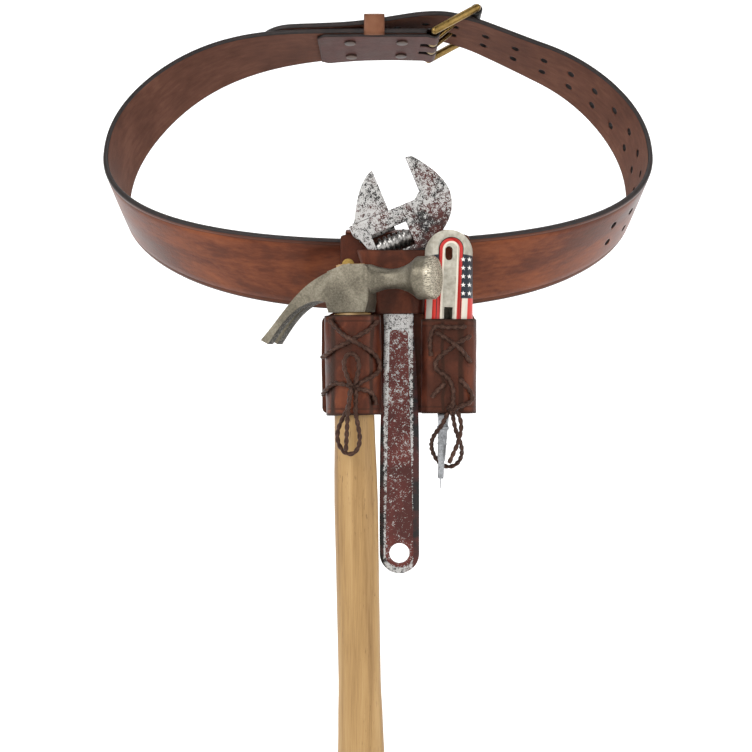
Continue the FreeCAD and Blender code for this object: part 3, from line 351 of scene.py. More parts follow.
def hammer_steel():
    """Forged head: olive grey, brighter and scratched towards the struck face, with painted shade on the
    claw's downward faces.
    """
    sh = Shader("hammer_steel")
    clouds = sh.noise(60.0, 6.0, 0.6, warp=0.5)
    pits = sh.noise(900.0, 3.0, 0.7)
    tone = sh.plus(sh.times(clouds, 0.6), sh.times(pits, 0.4))
    color = sh.ramp(tone, [(0.36, (0.060, 0.052, 0.038)), (0.5, (0.135, 0.118, 0.086)),
                           (0.66, (0.25, 0.225, 0.172))])
    turn = math.radians(HAMMER_TURN)
    back = sh.plus(sh.axis(1), 0.1103)
    along = sh.minus(sh.times(sh.axis(0), math.cos(turn)), sh.times(back, math.sin(turn)))
    scratch = sh.noise(1.0, 4.0, 0.7, sh.stretched((500, 500, 2200), turn=(0.4, 0.2, 0.3)))
    rim = sh.times(sh.step(along, 0.0340, 0.0370), sh.step(scratch, 0.46, 0.56))
    color = sh.mix(sh.times(rim, 0.8), color, (0.62, 0.56, 0.44))
    # painted shade on the claw's downward-facing underside, broken up by the pits; it is also rougher and
    # less metallic there
    under = sh.times(sh.step(along, -0.020, -0.034), sh.step(sh.facing(2), -0.25, -0.45))
    low = sh.times(under, sh.step(pits, 0.62, 0.50))
    color = sh.mix(sh.times(low, 0.9), color, (0.022, 0.020, 0.018))
    normal = sh.bump(tone, 0.5, 0.0002)
    rough = sh.mix(low, sh.grey(tone, 0.36, 0.55), (0.85,) * 3)
    return sh.done(color, rough, normal, sh.minus(0.75, sh.times(low, 0.7)))


def wrench_paint():
    """Chipped paint on steel: silver speckle, thick on the rims, thin in the sunk panel."""
    sh = Shader("wrench_paint", Specular_IOR_Level=0.25)
    depth = sh.size(sh.plus(sh.axis(1), 0.0902))
    height = sh.axis(2)
    sunk = sh.times(sh.step(depth, 0.0040, 0.0036), sh.step(height, -0.130, -0.134))
    wide = sh.noise(26.0, 4.0, 0.6, warp=0.6)
    chips = sh.plus(sh.times(sh.noise(1500.0, 3.0, 0.7), 0.55),
                    sh.times(sh.noise(420.0, 3.0, 0.7), 0.45))
    red = sh.mix(sh.step(wide, 0.42, 0.6), (0.060, 0.012, 0.009), (0.120, 0.022, 0.016))
    black = sh.mix(sh.step(sh.noise(90.0), 0.45, 0.62), (0.010, 0.008, 0.008), (0.060, 0.014, 0.011))
    paint = sh.mix(sunk, black, red)
    flank = sh.step(sh.size(sh.facing(1)), 0.6, 0.3)
    lower = sh.times(sh.step(height, -0.058, -0.066), sh.step(sh.axis(0), 0.018, 0.026))
    kept = sh.times(lower, sh.step(height, -0.12, -0.10))
    need = sh.plus(sh.times(sunk, 0.085), sh.times(wide, -0.22))
    need = sh.plus(need, sh.times(flank, 0.14))
    need = sh.plus(need, sh.times(kept, 0.075))
    side = sh.minus(sh.axis(0), 0.0133)
    handle = sh.step(height, -0.116, -0.120)
    right = sh.times(sh.step(side, 0.0080, 0.0088), handle)
    left = sh.times(sh.step(side, -0.0096, -0.0104), handle)
    need = sh.plus(need, sh.times(sh.plus(right, left), 0.16))
    head = sh.step(height, -0.088, -0.080)
    need = sh.minus(need, sh.times(head, 0.004))
    bare = sh.step(sh.minus(chips, need), 0.590, 0.625)
    color = sh.mix(bare, paint, (0.42, 0.41, 0.395))
    rough = sh.mix(bare, (0.42,) * 3, (0.30,) * 3)
    return sh.done(color, rough, sh.bump(chips, 0.6, 0.00016), sh.times(bare, 0.85))


def knife_paint():
    """Grey cap, a navy field and red and white stripes, all round a banded channel."""
    sh = Shader("knife_paint", Specular_IOR_Level=0.3)
    height = sh.axis(2)
    side = sh.plus(sh.minus(sh.axis(0), 0.0434),
                   sh.times(sh.plus(height, 0.1155), -0.0454))
    over = sh.math("MAXIMUM", sh.minus(height, -0.0865), 0.0)
    away = sh.math("SQRT", sh.plus(sh.times(side, side), sh.times(over, over)))
    stripe = sh.math("FRACT", sh.times(sh.plus(side, 0.1), 1 / 0.0072))
    stripes = sh.mix(sh.step(stripe, 0.48, 0.52), (0.58, 0.53, 0.45), (0.50, 0.020, 0.012))
    field = sh.mix(sh.step(height, -0.1168, -0.1163), stripes, (0.010, 0.014, 0.022))
    bend = sh.plus(height, sh.times(sh.times(side, side), 8.0))
    wear = sh.noise(220.0, 5.0, 0.6)
    cap = sh.ramp(wear, [(0.35, (0.27, 0.25, 0.20)), (0.65, (0.46, 0.43, 0.36))])
    field = sh.mix(sh.step(bend, -0.0892, -0.0888), field, cap)
    color = sh.mix(sh.step(away, 0.00775, 0.00755), field, (0.016, 0.014, 0.014))
    color = sh.mix(sh.step(away, 0.00725, 0.00705), color, (0.40, 0.022, 0.018))
    color = sh.mix(sh.step(away, 0.00520, 0.00500), color, (0.58, 0.53, 0.44))
    color = sh.mix(sh.step(away, 0.00395, 0.00375), color, cap)
    rough = sh.grey(wear, 0.30, 0.46)
    return sh.done(color, rough, sh.bump(wear, 0.2, 0.0001), 0.15)


def heights(node):
    low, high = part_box(node)
    return low[2], high[2]


def build_materials():
    return {
        "strap_outer": strap_outer(),
        "strap_inner": strap_inner(),
        "strap_edge": strap_edge(),
        "fold": leather("fold_leather", (0.020, 0.008, 0.008), (0.036, 0.014, 0.014),
                        (0.062, 0.026, 0.025), rough=(0.5, 0.7), coat=0.03),
        "keeper": leather("keeper_leather", (0.080, 0.030, 0.015), (0.125, 0.052, 0.028),
                          (0.170, 0.078, 0.044)),
        "holster": leather("holster_leather", (0.014, 0.004, 0.003), (0.055, 0.012, 0.006),
                           (0.150, 0.038, 0.014), blotch=30.0, rims=(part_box("holster_panel")[0][2], 1.0)),
        # the sleeve and the pocket carry painted shade in the gaps between their flap edges
        "sleeve": leather("sleeve_leather", (0.012, 0.004, 0.003), (0.046, 0.011, 0.006),
                          (0.120, 0.032, 0.014), blotch=55.0, depth=0.00022,
                          gap_shade_lines=((-0.0275, 0.0020), (-0.0042, 0.0016)), rims=heights("hammer_sleeve")),
        "pocket": leather("pocket_leather", *POUCH_TONES, blotch=55.0, depth=0.00022,
                          gap_shade_lines=((0.0395, 0.0014), (0.0508, 0.0024)), rims=heights("knife_pocket")),
        "pouch": leather("pouch_leather", *POUCH_TONES, blotch=55.0, depth=0.00022),
        "thong": thong_leather("thong_leather"),
        "brass": metal("antique_brass", (0.16, 0.095, 0.024), (0.42, 0.28, 0.085), 0.32),
        "dark_rivet": metal("dark_rivet", (0.018, 0.009, 0.007), (0.075, 0.040, 0.026), 0.45, metallic=0.4),
        "buckle": metal("buckle_brass", (0.085, 0.048, 0.013), (0.34, 0.225, 0.075), 0.28),
        "roller": metal("roller_black", (0.008, 0.008, 0.008), (0.030, 0.028, 0.026), 0.4, metallic=0.5),
        "head": hammer_steel(),
        "wood": wood(),
        "wedge_wood": metal("wedge_wood", (0.16, 0.09, 0.04), (0.30, 0.19, 0.10), 0.7, metallic=0.0),
        "wedge_steel": metal("wedge_steel", (0.18, 0.17, 0.15), (0.36, 0.34, 0.30), 0.45),
        "wrench": wrench_paint(),
        "worm": metal("worm_steel", (0.030, 0.026, 0.026), (0.60, 0.58, 0.55), 0.35, grain=500.0, wear=0.6),
        "knife": knife_paint(),
        "nose": metal("nose_steel", (0.10, 0.10, 0.105), (0.36, 0.37, 0.38), 0.30, wear=0.5),
        "blade": metal("blade_steel", (0.16, 0.165, 0.17), (0.40, 0.41, 0.42), 0.24),
        "star": metal("star_white", (0.62, 0.60, 0.56), (0.76, 0.74, 0.70), 0.5, metallic=0.0),
    }


# -------------------- mesh helpers

def add_object(name, mesh, body):
    obj = linked(name, mesh)
    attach(obj, body)
    return obj


def applied(obj):
    """Turns an object's modifiers into its mesh."""
    graph = bpy.context.evaluated_depsgraph_get()
    mesh = bpy.data.meshes.new_from_object(obj.evaluated_get(graph), depsgraph=graph)
    obj.modifiers.clear()
    obj.data = mesh


def set_material(obj, mat):
    obj.data.materials.clear()
    obj.data.materials.append(mat)
    for face in obj.data.polygons:
        face.material_index = 0


def shade(obj, angle=None):
    for face in obj.data.polygons:
        face.use_smooth = True
    if angle is not None:
        obj.data.set_sharp_from_angle(angle=math.radians(angle))


def welded(node):
    """A copy of a CAD node's mesh with its split corners joined again."""
    bm = bmesh.new()
    bm.from_mesh(NODES[node].data)
    bmesh.ops.remove_doubles(bm, verts=bm.verts, dist=2e-6)
    return mesh_of(node + "_piece", bm)


def soft_copy(node, mat, voxel, rounds, wave):
    """A leather piece from its CAD solid: soft edges and an uneven, hand-worked surface."""
    obj = add_object(node + "_hide", welded(node), "belt")
    mod = obj.modifiers.new("voxels", "REMESH")
    mod.mode = "VOXEL"
    mod.voxel_size = voxel * MM
    mod.use_smooth_shade = True
    even = obj.modifiers.new("even", "SMOOTH")
    even.iterations = rounds
    even.factor = 0.5
    applied(obj)
    normals = [v.normal.copy() for v in obj.data.vertices]
    for v, normal in zip(obj.data.vertices, normals):
        v.co += normal * wave(v.co) * MM
    set_material(obj, mat)
    shade(obj)
    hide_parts(node)


def hard_copy(node, body, slot, mat, bevel, limit=35, segments=2):
    """A metal or wooden piece from its CAD solid with its edges broken."""
    obj = add_object(node + "_skin", welded(node), body)
    if bevel:
        mod = obj.modifiers.new("edges", "BEVEL")
        mod.width = bevel * MM
        mod.segments = segments
        mod.limit_method = "ANGLE"
        mod.angle_limit = math.radians(limit)
        applied(obj)
    set_material(obj, mat)
    shade(obj, limit)
    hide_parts(node)


def ring_mesh(name, rings, around_uv, run_uv, materials_of=None, cap=True):
    """A mesh through a row of closed rings, in mm, with a UV map of the run and the way round."""
    count = len(rings[0])
    verts = [tuple(p * MM) for ring in rings for p in ring]
    faces = []
    uvs = []
    marks = []
    for i in range(len(rings) - 1):
        for j in range(count):
            k = (j + 1) % count
            faces.append((i * count + j, i * count + k, (i + 1) * count + k, (i + 1) * count + j))
            high = around_uv[j + 1]
            low = around_uv[j]
            uvs += [(run_uv[i], low), (run_uv[i], high), (run_uv[i + 1], high), (run_uv[i + 1], low)]
            marks.append(materials_of(j) if materials_of else 0)
    if cap:
        faces.append(tuple(range(count - 1, -1, -1)))
        faces.append(tuple(range((len(rings) - 1) * count, len(rings) * count)))
        uvs += [(0, 0)] * (2 * count)
        marks += [materials_of(None) if materials_of else 0] * 2
    mesh = bpy.data.meshes.new(name)
    mesh.from_pydata(verts, [], faces)
    layer = mesh.uv_layers.new(name="run")
    for spot, uv in zip(layer.data, uvs):
        spot.uv = uv
    for face, mark in zip(mesh.polygons, marks):
        face.material_index = mark
        face.use_smooth = True
    mesh.update()
    bm = bmesh.new()
    bm.from_mesh(mesh)
    bmesh.ops.recalc_face_normals(bm, faces=bm.faces)
    bm.to_mesh(mesh)
    bm.free()
    return mesh


# -------------------- strap path, in mm

RING_A = 178.6
RING_B = 111.7
FRONT_POWER = 2.02
BACK_POWER = 2.30
BACK_FLATTENING = 16.0
RING_TILT = 45.1
SIDE_DROP = 25.3
LEAN_FRONT = 14.4
LEAN_SIDE = -13.7
LEAN_BACK = 31.4
LEAN_RIGHT_BACK = 1.9
LEAN_LEFT_BACK = -4.6
STRAP_W = 50.0
STRAP_T = 3.6
HOLE_PITCH = 20.5
HOLE_ROWS = (17.5, 32.5)
HOLE_PAIRS = 13
TAIL_LENGTH = 118.0
TAIL_RISE = ((-75, 0.0), (-60, 1.2), (-45, 4.2), (-30, 8.3), (-24, 9.7), (-10, 12.4), (0, 12.7),
             (10, 12.0), (20, 10.5), (40, 7.2), (60, 5.0), (80, 4.2))
BAR_X = 38.0
BAR_DEPTH = -1.2
WRAP_R = 4.2
FOLD_T = 2.4
FOLD_LENGTH = 79.0
FOLD_HALF_W = 24.4
FOLD_STEPS = 39
STRAP_START = 5.0
KEEPER_AT = 40.5
FRAME_SLANT = 30.0
FRAME_LENGTH = 33.0
PRONG_CROSS = 15.6
PRONG_HOLE_R = 2.5
PRONG_WAY_R = 2.9
PRONG_LIFT = 6.2                    # of the prongs over the frame's plane, at the roller
TIP_ROUND = 22.0                    # length over which the strap's tip narrows
TIP_NARROW = 17.0


def smooth(value):
    value = min(1.0, max(0.0, value))
    return value * value * (3 - 2 * value)


def ring_point(angle):
    c, s = math.cos(angle), math.sin(angle)
    power = 2 / (BACK_POWER if s > 0 else FRONT_POWER)
    x = RING_A * math.copysign(abs(c) ** power, c)
    y = RING_B * math.copysign(abs(s) ** power, s) - BACK_FLATTENING * max(0.0, s) ** 10
    return Vector((x, y, -SIDE_DROP * c * c))


def ring_lean(angle):
    middle = (LEAN_FRONT + LEAN_BACK) / 2
    c, s = math.cos(angle), math.sin(angle)
    lean = middle + (LEAN_BACK - LEAN_FRONT) / 2 * s + (LEAN_SIDE - middle) * c * c
    lean += 2 * max(0.0, s) * (LEAN_RIGHT_BACK * max(0.0, c) + LEAN_LEFT_BACK * max(0.0, -c))
    return math.radians(lean)


def strap_axes(angle):
    """Point on the top edge, direction along the strap, outward normal, direction down the width."""
    tilt = Matrix.Rotation(math.radians(RING_TILT), 3, "X")
    here = ring_point(angle)
    along = ring_point(angle + 0.004) - ring_point(angle - 0.004)
    flat = Vector((along.x, along.y, 0)).normalized()
    out = Vector((flat.y, -flat.x, 0))
    lean = ring_lean(angle)
    down = Vector((0, 0, -math.cos(lean))) + out * math.sin(lean)
    along.normalize()
    outward = -along.cross(down).normalized()
    down = -outward.cross(along).normalized()
    return tilt @ here, tilt @ along, tilt @ outward, tilt @ down


def walk_ring():
    start = math.acos((BAR_X / RING_A) ** (BACK_POWER / 2))
    table = [(0.0, start)]
    step = math.radians(0.25)
    while table[-1][0] < 1200:
        length, angle = table[-1]
        length += (ring_point(angle + step) - ring_point(angle)).length
        table.append((length, angle + step))
    return table


WALK = walk_ring()


def angle_at(length):
    if length < 0:
        return WALK[0][1] + length / ring_point(WALK[0][1]).length
    low = 0
    high = len(WALK) - 1
    while high - low > 1:
        middle = (low + high) // 2
        if WALK[middle][0] <= length:
            low = middle
        else:
            high = middle
    (l0, a0), (l1, a1) = WALK[low], WALK[high]
    return a0 + (a1 - a0) * (length - l0) / (l1 - l0)


def full_turn():
    target = WALK[0][1] + 2 * math.pi
    for (l0, a0), (l1, a1) in zip(WALK, WALK[1:]):
        if a1 >= target:
            return l0 + (l1 - l0) * (target - a0) / (a1 - a0)
    return WALK[-1][0]


PERIMETER = full_turn()


def tail_offset(length):
    """How far outward the strap's middle lies: past a full turn it lies on the first ply."""
    past = length - PERIMETER
    if past <= TAIL_RISE[0][0]:
        return 0.0
    for i in range(len(TAIL_RISE) - 1):
        (x0, y0), (x1, y1) = TAIL_RISE[i:i + 2]
        if past < x1:
            before = TAIL_RISE[max(0, i - 1)]
            after = TAIL_RISE[min(len(TAIL_RISE) - 1, i + 2)]
            slope0 = (y1 - before[1]) / (x1 - before[0]) if i else 0.0
            slope1 = (after[1] - y0) / (after[0] - x0)
            t = (past - x0) / (x1 - x0)
            pull = slope0 * t * (1 - t) ** 2 - slope1 * t * t * (1 - t)
            return y0 + (y1 - y0) * smooth(t) + (x1 - x0) * pull
    return TAIL_RISE[-1][1]


def strap_place(length, outward_by, down_by):
    point, _, outward, down = strap_axes(angle_at(length))
    return point + outward * outward_by + down * down_by


def band_outline(low, high, thickness, creases=True):
    """(outward, down) points round a strap's section, with rounded edges and pressed crease lines."""
    half = thickness / 2
    r = min(1.3, half * 0.8)
    points = []
    marks = []

    def add(o, w, mark):
        points.append((o, w))
        marks.append(mark)

    rim = 3.4
    quarter = [math.radians(90 * i / 4) for i in range(4)]
    face = [low + r, low + 2.0, low + rim - 0.5, low + rim, low + rim + 0.5]
    face += [low + rim + 0.5 + (high - low - 2 * rim - 1.0) * i / 12 for i in range(1, 12)]
    face += [high - rim - 0.5, high - rim, high - rim + 0.5, high - 2.0, high - r]
    for w in face:
        dip = 0.28 if creases and min(abs(w - low - rim), abs(high - rim - w)) < 0.01 else 0.0
        add(half - dip, w, 0)
    for a in quarter[1:]:
        add(half - r + r * math.cos(a), high - r + r * math.sin(a), 2)
    for a in quarter:
        add(-half + r - r * math.sin(a), high - r + r * math.cos(a), 2)
    for w in face[::-1]:
        add(-half, w, 1)
    for a in quarter[1:]:
        add(-half + r - r * math.cos(a), low + r - r * math.sin(a), 2)
    for a in quarter:
        add(half - r + r * math.sin(a), low + r - r * math.cos(a), 2)
    return points, marks


def cutter(name, rods, mat):
    """One mesh of rods, (start, end, radius) in mm, to cut holes with."""
    bm = bmesh.new()
    for start, end, radius in rods:
        axis = end - start
        turn = axis.to_track_quat("Z", "Y").to_matrix().to_4x4()
        place = Matrix.Translation((start + end) / 2 * MM) @ turn
        bmesh.ops.create_cone(bm, cap_ends=True, segments=20, radius1=radius * MM, radius2=radius * MM,
                              depth=axis.length * MM, matrix=place)
    return linked(name, mesh_of(name, bm, mat))


def cut(obj, tool):
    mod = obj.modifiers.new("cut", "BOOLEAN")
    mod.operation = "DIFFERENCE"
    mod.solver = "EXACT"
    mod.object = tool
    applied(obj)
    bpy.data.objects.remove(tool)


BAR_POINT, BAR_ALONG, BAR_OUT, BAR_DOWN = strap_axes(WALK[0][1])
BAR_ALONG = -BAR_ALONG
BAR_CENTRE = BAR_POINT + BAR_OUT * BAR_DEPTH + BAR_DOWN * (STRAP_W / 2)


def at_buckle(s, o, w):
    return BAR_CENTRE + BAR_ALONG * s + BAR_OUT * o + BAR_DOWN * w


def make_strap(mats):
    tip = PERIMETER + TAIL_LENGTH
    outline, marks = band_outline(0.0, STRAP_W, STRAP_T)
    rings = []
    runs = []
    length = STRAP_START
    while length < tip + 0.01:
        near = max(0.0, length - (tip - TIP_ROUND)) / TIP_ROUND
        narrow = TIP_NARROW * (1 - math.sqrt(max(0.0, 1 - min(1.0, near) ** 2)))
        rise = tail_offset(length)
        point, _, outward, down = strap_axes(angle_at(length))
        squeeze = (STRAP_W - 2 * narrow) / STRAP_W
        wobble = 0.22 * noise.noise(Vector((length * 0.02, 3.0, 0.0)))
        ring = []
        for o, w in outline:
            bow = 0.35 * math.cos(math.pi * (w / STRAP_W - 0.5)) - 0.2
            out = rise + o + bow * 0.5 + wobble * (0.5 if abs(length - PERIMETER) > 60 else 0.0)
            ring.append(point + outward * out + down * (narrow + w * squeeze))
        rings.append(ring)
        runs.append(length * MM)
        length += 2.4 if length < tip - 24 else 1.2
    ways = [w * MM for o, w in outline]
    ways.append(ways[0])
    mesh = ring_mesh("strap", rings, ways, runs, lambda j: 2 if j is None else marks[j])
    obj = add_object("strap", mesh, "belt")
    for key in ("strap_outer", "strap_inner", "strap_edge"):
        mesh.materials.append(mats[key])
    rods = []
    for k in range(-2, HOLE_PAIRS):
        length = PERIMETER - PRONG_CROSS - HOLE_PITCH * k
        at = tail_offset(length)
        for row in HOLE_ROWS:
            ends = [strap_place(length, at + reach, row) for reach in (-3.5, 3.5)]
            rods.append((*ends, PRONG_HOLE_R))
    cut(obj, cutter("strap_holes", rods, mats["strap_edge"]))
    rods = []
    slant = math.radians(FRAME_SLANT)
    reach = FRAME_LENGTH + 3
    lift = PRONG_LIFT * reach / FRAME_LENGTH
    for row in HOLE_ROWS:
        w = row - STRAP_W / 2
        s = reach * math.cos(slant) - lift * math.sin(slant)
        o = reach * math.sin(slant) + lift * math.cos(slant)
        rods.append((at_buckle(0.05 * s, 0.05 * o, w), at_buckle(s * 0.9, o * 0.9, w), PRONG_WAY_R))
    cut(obj, cutter("prong_ways", rods, mats["strap_edge"]))
    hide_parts("belt_strap")


def make_fold(mats):
    """The strap's end turned back round the heel bar and riveted down."""
    half = STRAP_T / 2
    outline, marks = band_outline(-FOLD_HALF_W, FOLD_HALF_W, FOLD_T - 0.3, False)
    rings = []
    runs = []
    run = 0.0
    for i in range(FOLD_STEPS + 1):
        length = FOLD_LENGTH - (FOLD_LENGTH - STRAP_START) * i / FOLD_STEPS
        point, _, outward, down = strap_axes(angle_at(length))
        middle = -half - FOLD_T / 2 - 0.05
        wave = 0.25 * noise.noise(Vector((length * 0.05, 9.0, 0.0)))
        ring = []
        for o, w in outline:
            squeeze = 1.0 - 0.16 * smooth((length - (FOLD_LENGTH - 7)) / 7) ** 2
            ring.append(point + outward * (middle + o + min(0.0, wave - 0.1)) + down * (25 + w * squeeze))
        rings.append(ring)
        run += 0 if not i else (FOLD_LENGTH - STRAP_START) / FOLD_STEPS
        runs.append(run * MM)
    mid = WRAP_R - 1.05
    steps = 16
    for i in range(steps + 1):
        a = math.radians(-90 + 180 * i / steps)
        ring = []
        for o, w in outline:
            r = mid - o * 0.8
            ring.append(at_buckle(r * math.cos(a), r * math.sin(a), w))
        rings.append(ring)
        run += 0.7
        runs.append(run * MM)
    for s, o in ((-2.2, 2.75), (-4.6, 2.6)):
        rings.append([at_buckle(s, o - p * 0.8, w) for p, w in outline])
        run += 2.4
        runs.append(run * MM)
    ways = [w * MM for o, w in outline]
    ways.append(ways[0])
    mesh = ring_mesh("buckle_fold_hide", rings, ways, runs, lambda j: 1 if j is None or marks[j] == 2 else 0)
    obj = add_object("fold_hide", mesh, "belt")
    mesh.materials.append(mats["fold"])
    mesh.materials.append(mats["strap_edge"])
    cut(obj, fold_slots(mats["strap_edge"]))
    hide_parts("buckle_fold")


def fold_slots(mat):
    """Blocks that cut the two slots in which the prongs turn."""
    bm = bmesh.new()
    for row in HOLE_ROWS:
        w = row - STRAP_W / 2
        corners = [at_buckle(s, o, v) for s in (-8.5, 11.5) for o in (-9, 9) for v in (w - 2.4, w + 2.4)]
        verts = [bm.verts.new(c * MM) for c in corners]
        bmesh.ops.convex_hull(bm, input=verts)
    return linked("fold_slots", mesh_of("fold_slots", bm, mat))


def keeper_path():
    """(outward, down, direction outward) of points round both plies, with rounded corners."""
    low_o = -STRAP_T / 2 - 0.65
    high_o = tail_offset(PERIMETER + KEEPER_AT) + STRAP_T / 2 + 2.35
    low_w, high_w, r = -1.4, STRAP_W + 1.4, 2.2
    path = []
    corners = [(high_o - r, high_w - r, 0), (low_o + r, high_w - r, 90), (low_o + r, low_w + r, 180),
               (high_o - r, low_w + r, 270)]
    for o, w, start in corners:
        for i in range(6):
            a = math.radians(start + 18 * i)
            normal = (math.cos(a), math.sin(a))
            path.append((o + r * normal[0], w + r * normal[1], normal))
    flat = []
    for i, (o, w, normal) in enumerate(path):
        flat.append((o, w, normal))
        o2, w2, _ = path[(i + 1) % len(path)]
        gap = math.hypot(o2 - o, w2 - w)
        pieces = int(gap / 3)
        for k in range(1, pieces):
            t = k / pieces
            flat.append((o + (o2 - o) * t, w + (w2 - w) * t, normal))
    return flat + flat[:1]


def keeper_section():
    """(height, side) of points round the leather's own section."""
    across = [-6.4 + 1.6 * i for i in range(9)]
    outer = [(0.7, side) for side in across]
    inner = [(-0.62, -side) for side in across]
    return outer + [(0.35, 6.95), (-0.3, 6.95)] + inner + [(-0.3, -6.95), (0.35, -6.95)]


def make_keeper(mats):
    """A narrow leather loop, swept round both plies."""
    point, along, outward, down = strap_axes(angle_at(KEEPER_AT))
    section = keeper_section()
    rings = []
    runs = []
    for i, (o, w, normal) in enumerate(keeper_path()):
        ring = []
        for depth, side in section:
            crown = 0.12 * (1 - (side / 7) ** 2)
            d = depth + (crown if depth > 0.5 else 0)
            ring.append(point + along * side + outward * (o + normal[0] * d) + down * (w + normal[1] * d))
        rings.append(ring)
        runs.append(i * 3 * MM)
    ways = [s * MM for d, s in section]
    ways.append(ways[0])
    mesh = ring_mesh("keeper", rings, ways, runs, cap=False)
    bm = bmesh.new()
    bm.from_mesh(mesh)
    bmesh.ops.remove_doubles(bm, verts=bm.verts, dist=1e-6)
    bmesh.ops.recalc_face_normals(bm, faces=bm.faces)
    bm.to_mesh(mesh)
    bm.free()
    obj = add_object("keeper", mesh, "belt")
    mesh.materials.append(mats["keeper"])
    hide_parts("keeper_loop")


# -------------------- laces

LACE_D = 3.0
THONG_SIDES = 16
THONG_GIRTH = 0.0094                # of its section, in metres
KNOT_STEPS = 120
LACE_LIFT = LACE_D / 2 + 0.6        # of a lace's middle over the leather
CROSS_LIFT = 6.7                    # where it passes over another lace
SLEEVE_HALF = (15.4, 11.9)
SLEEVE_T = 2.3
SLEEVE_FRONT = 16.2                 # direction that faces the front, in the hammer's turned frame
HAMMER_AT = Vector((-16.1, -116.3, -102.0))
KNIFE_X = 43.4
KNIFE_Y = -111.6
KNIFE_W = 29.4
KNIFE_D = 15.0
KNIFE_CORNER = 6.5
POCKET_GAP = 0.7
POCKET_T = 1.6


def hammer_axes():
    up = Vector((-0.02, 0, 1)).normalized()
    side = Vector((1, 0, 0))
    side = (side - up * side.dot(up)).normalized()
    forward = Matrix.Rotation(math.radians(-HAMMER_TURN), 3, up) @ side
    return HAMMER_AT, forward, up.cross(forward), up


def on_sleeve(angle, z, lift=LACE_LIFT):
    """A point outside the hammer sleeve by its angle from the front, to the right."""
    centre, forward, back, up = hammer_axes()
    a = SLEEVE_HALF[0] + SLEEVE_T + lift
    b = SLEEVE_HALF[1] + SLEEVE_T + lift
    turn = math.radians(angle + SLEEVE_FRONT)
    return centre + forward * (a * math.sin(turn)) - back * (b * math.cos(turn)) + up * z


def on_pocket(x, z, lift=LACE_LIFT):
    """A point in front of the knife pocket, following its rounded corners."""
    half_x = KNIFE_W / 2 + POCKET_GAP + POCKET_T
    half_y = KNIFE_D / 2 + POCKET_GAP + POCKET_T
    corner = KNIFE_CORNER + 1.5
    past = max(0.0, abs(x - KNIFE_X) - (half_x - corner))
    reach = corner + lift
    drop = reach - math.sqrt(reach * reach - min(past, reach * 0.95) ** 2)
    return Vector((x, KNIFE_Y - half_y - lift + drop, z))


HAMMER_LACES = {
    "hammer_lace_over": [(-47, -18.5), (-25, -26.5), (0, -32.0, CROSS_LIFT), (23, -36.5), (44, -40.8),
                         (58, -46.2), (56, -51.0), (37, -54.2), (17, -56.6), (3, -60.0, 3.4)],
    "hammer_lace_under": [(55, -20.0), (36, -25.0), (13, -28.8), (-11, -33.6), (-34, -36.4), (-57, -40.2),
                          (-78, -42.0)],
    "hammer_lace_left": [(-86, -65.0), (-61, -61.4), (-37, -57.4), (-16, -58.6), (1, -60.0, 3.4)],
    "hammer_lace_right": [(3, -61.4, 3.4), (22, -61.9), (42, -65.6), (44, -71.6)],
}
KNIFE_LACES = {
    "knife_lace_top": [(54.0, -125.4), (44.2, -126.4), (35.4, -124.6), (32.2, -129.2), (31.5, -136.6),
                       (32.3, -143.4)],
    "knife_lace_over": [(35.0, -128.6), (41.4, -132.4), (47.4, -136.9, CROSS_LIFT), (53.0, -141.8),
                        (56.6, -147.4)],
    "knife_lace_under": [(57.0, -131.0), (50.6, -134.2), (43.6, -139.4), (38.0, -143.2), (34.2, -148.2),
                         (36.0, -152.6), (41.0, -154.6), (45.0, -160.4), (46.2, -167.2),
                         (45.4, -176.0, 4.2)],
    "knife_lace_left": [(41.4, -160.0), (36.8, -163.4), (32.6, -168.8)],
    "knife_lace_right": [(49.6, -157.0), (54.4, -162.2), (57.8, -167.4), (57.2, -171.6), (52.2, -173.2),
                         (46.0, -176.0, 4.2)],
}
FREE_CORDS = {
    "hammer_bow_up": [(-16.6, -135.3, -161.2), (-19.0, -136.1, -155.4), (-21.0, -135.9, -149.5),
                      (-20.2, -136.3, -144.2), (-16.4, -135.9, -141.2), (-12.4, -136.3, -144.2),
                      (-11.4, -135.9, -149.5), (-12.6, -136.1, -155.4), (-14.2, -135.3, -161.2)],
    "hammer_bow_down": [(-17.1, -135.3, -164.0), (-17.3, -135.7, -170.8), (-19.4, -135.5, -177.6),
                        (-22.8, -135.7, -183.6), (-25.0, -135.5, -190.2), (-24.2, -135.6, -197.2),
                        (-20.2, -135.8, -202.6), (-15.0, -135.5, -203.2), (-11.6, -135.7, -198.6),
                        (-11.0, -135.5, -191.8), (-12.4, -135.8, -184.8), (-13.8, -135.5, -177.6),
                        (-13.6, -135.7, -170.8), (-13.5, -135.3, -164.0)],
    "hammer_bow_tail": [(-16.2, -138.0, -163.4), (-17.4, -139.7, -169.6), (-18.6, -139.5, -180.4),
                        (-19.0, -139.7, -190.4), (-19.6, -139.4, -201.0)],
    "knife_bow_loop": [(42.6, -126.4, -177.8), (39.8, -122.8, -184.8), (35.0, -119.0, -190.4),
                       (32.6, -113.6, -195.4), (32.8, -107.6, -200.8), (35.4, -103.2, -206.4),
                       (39.0, -101.6, -210.4), (43.6, -101.8, -212.0), (48.0, -104.2, -210.4),
                       (51.0, -108.4, -206.4), (51.6, -113.6, -200.6), (49.8, -118.2, -194.6),
                       (46.8, -122.2, -187.6), (45.6, -124.8, -179.6)],
    "knife_bow_tail": [(48.2, -127.6, -177.0), (50.8, -129.0, -183.0), (50.4, -128.4, -190.0),
                       (48.6, -127.2, -196.8), (45.8, -126.6, -203.0), (43.2, -126.8, -208.8)],
}
HAMMER_KNOT = (-15.3, -134.3, -162.3)
KNIFE_KNOT = (45.4, -124.8, -176.2)


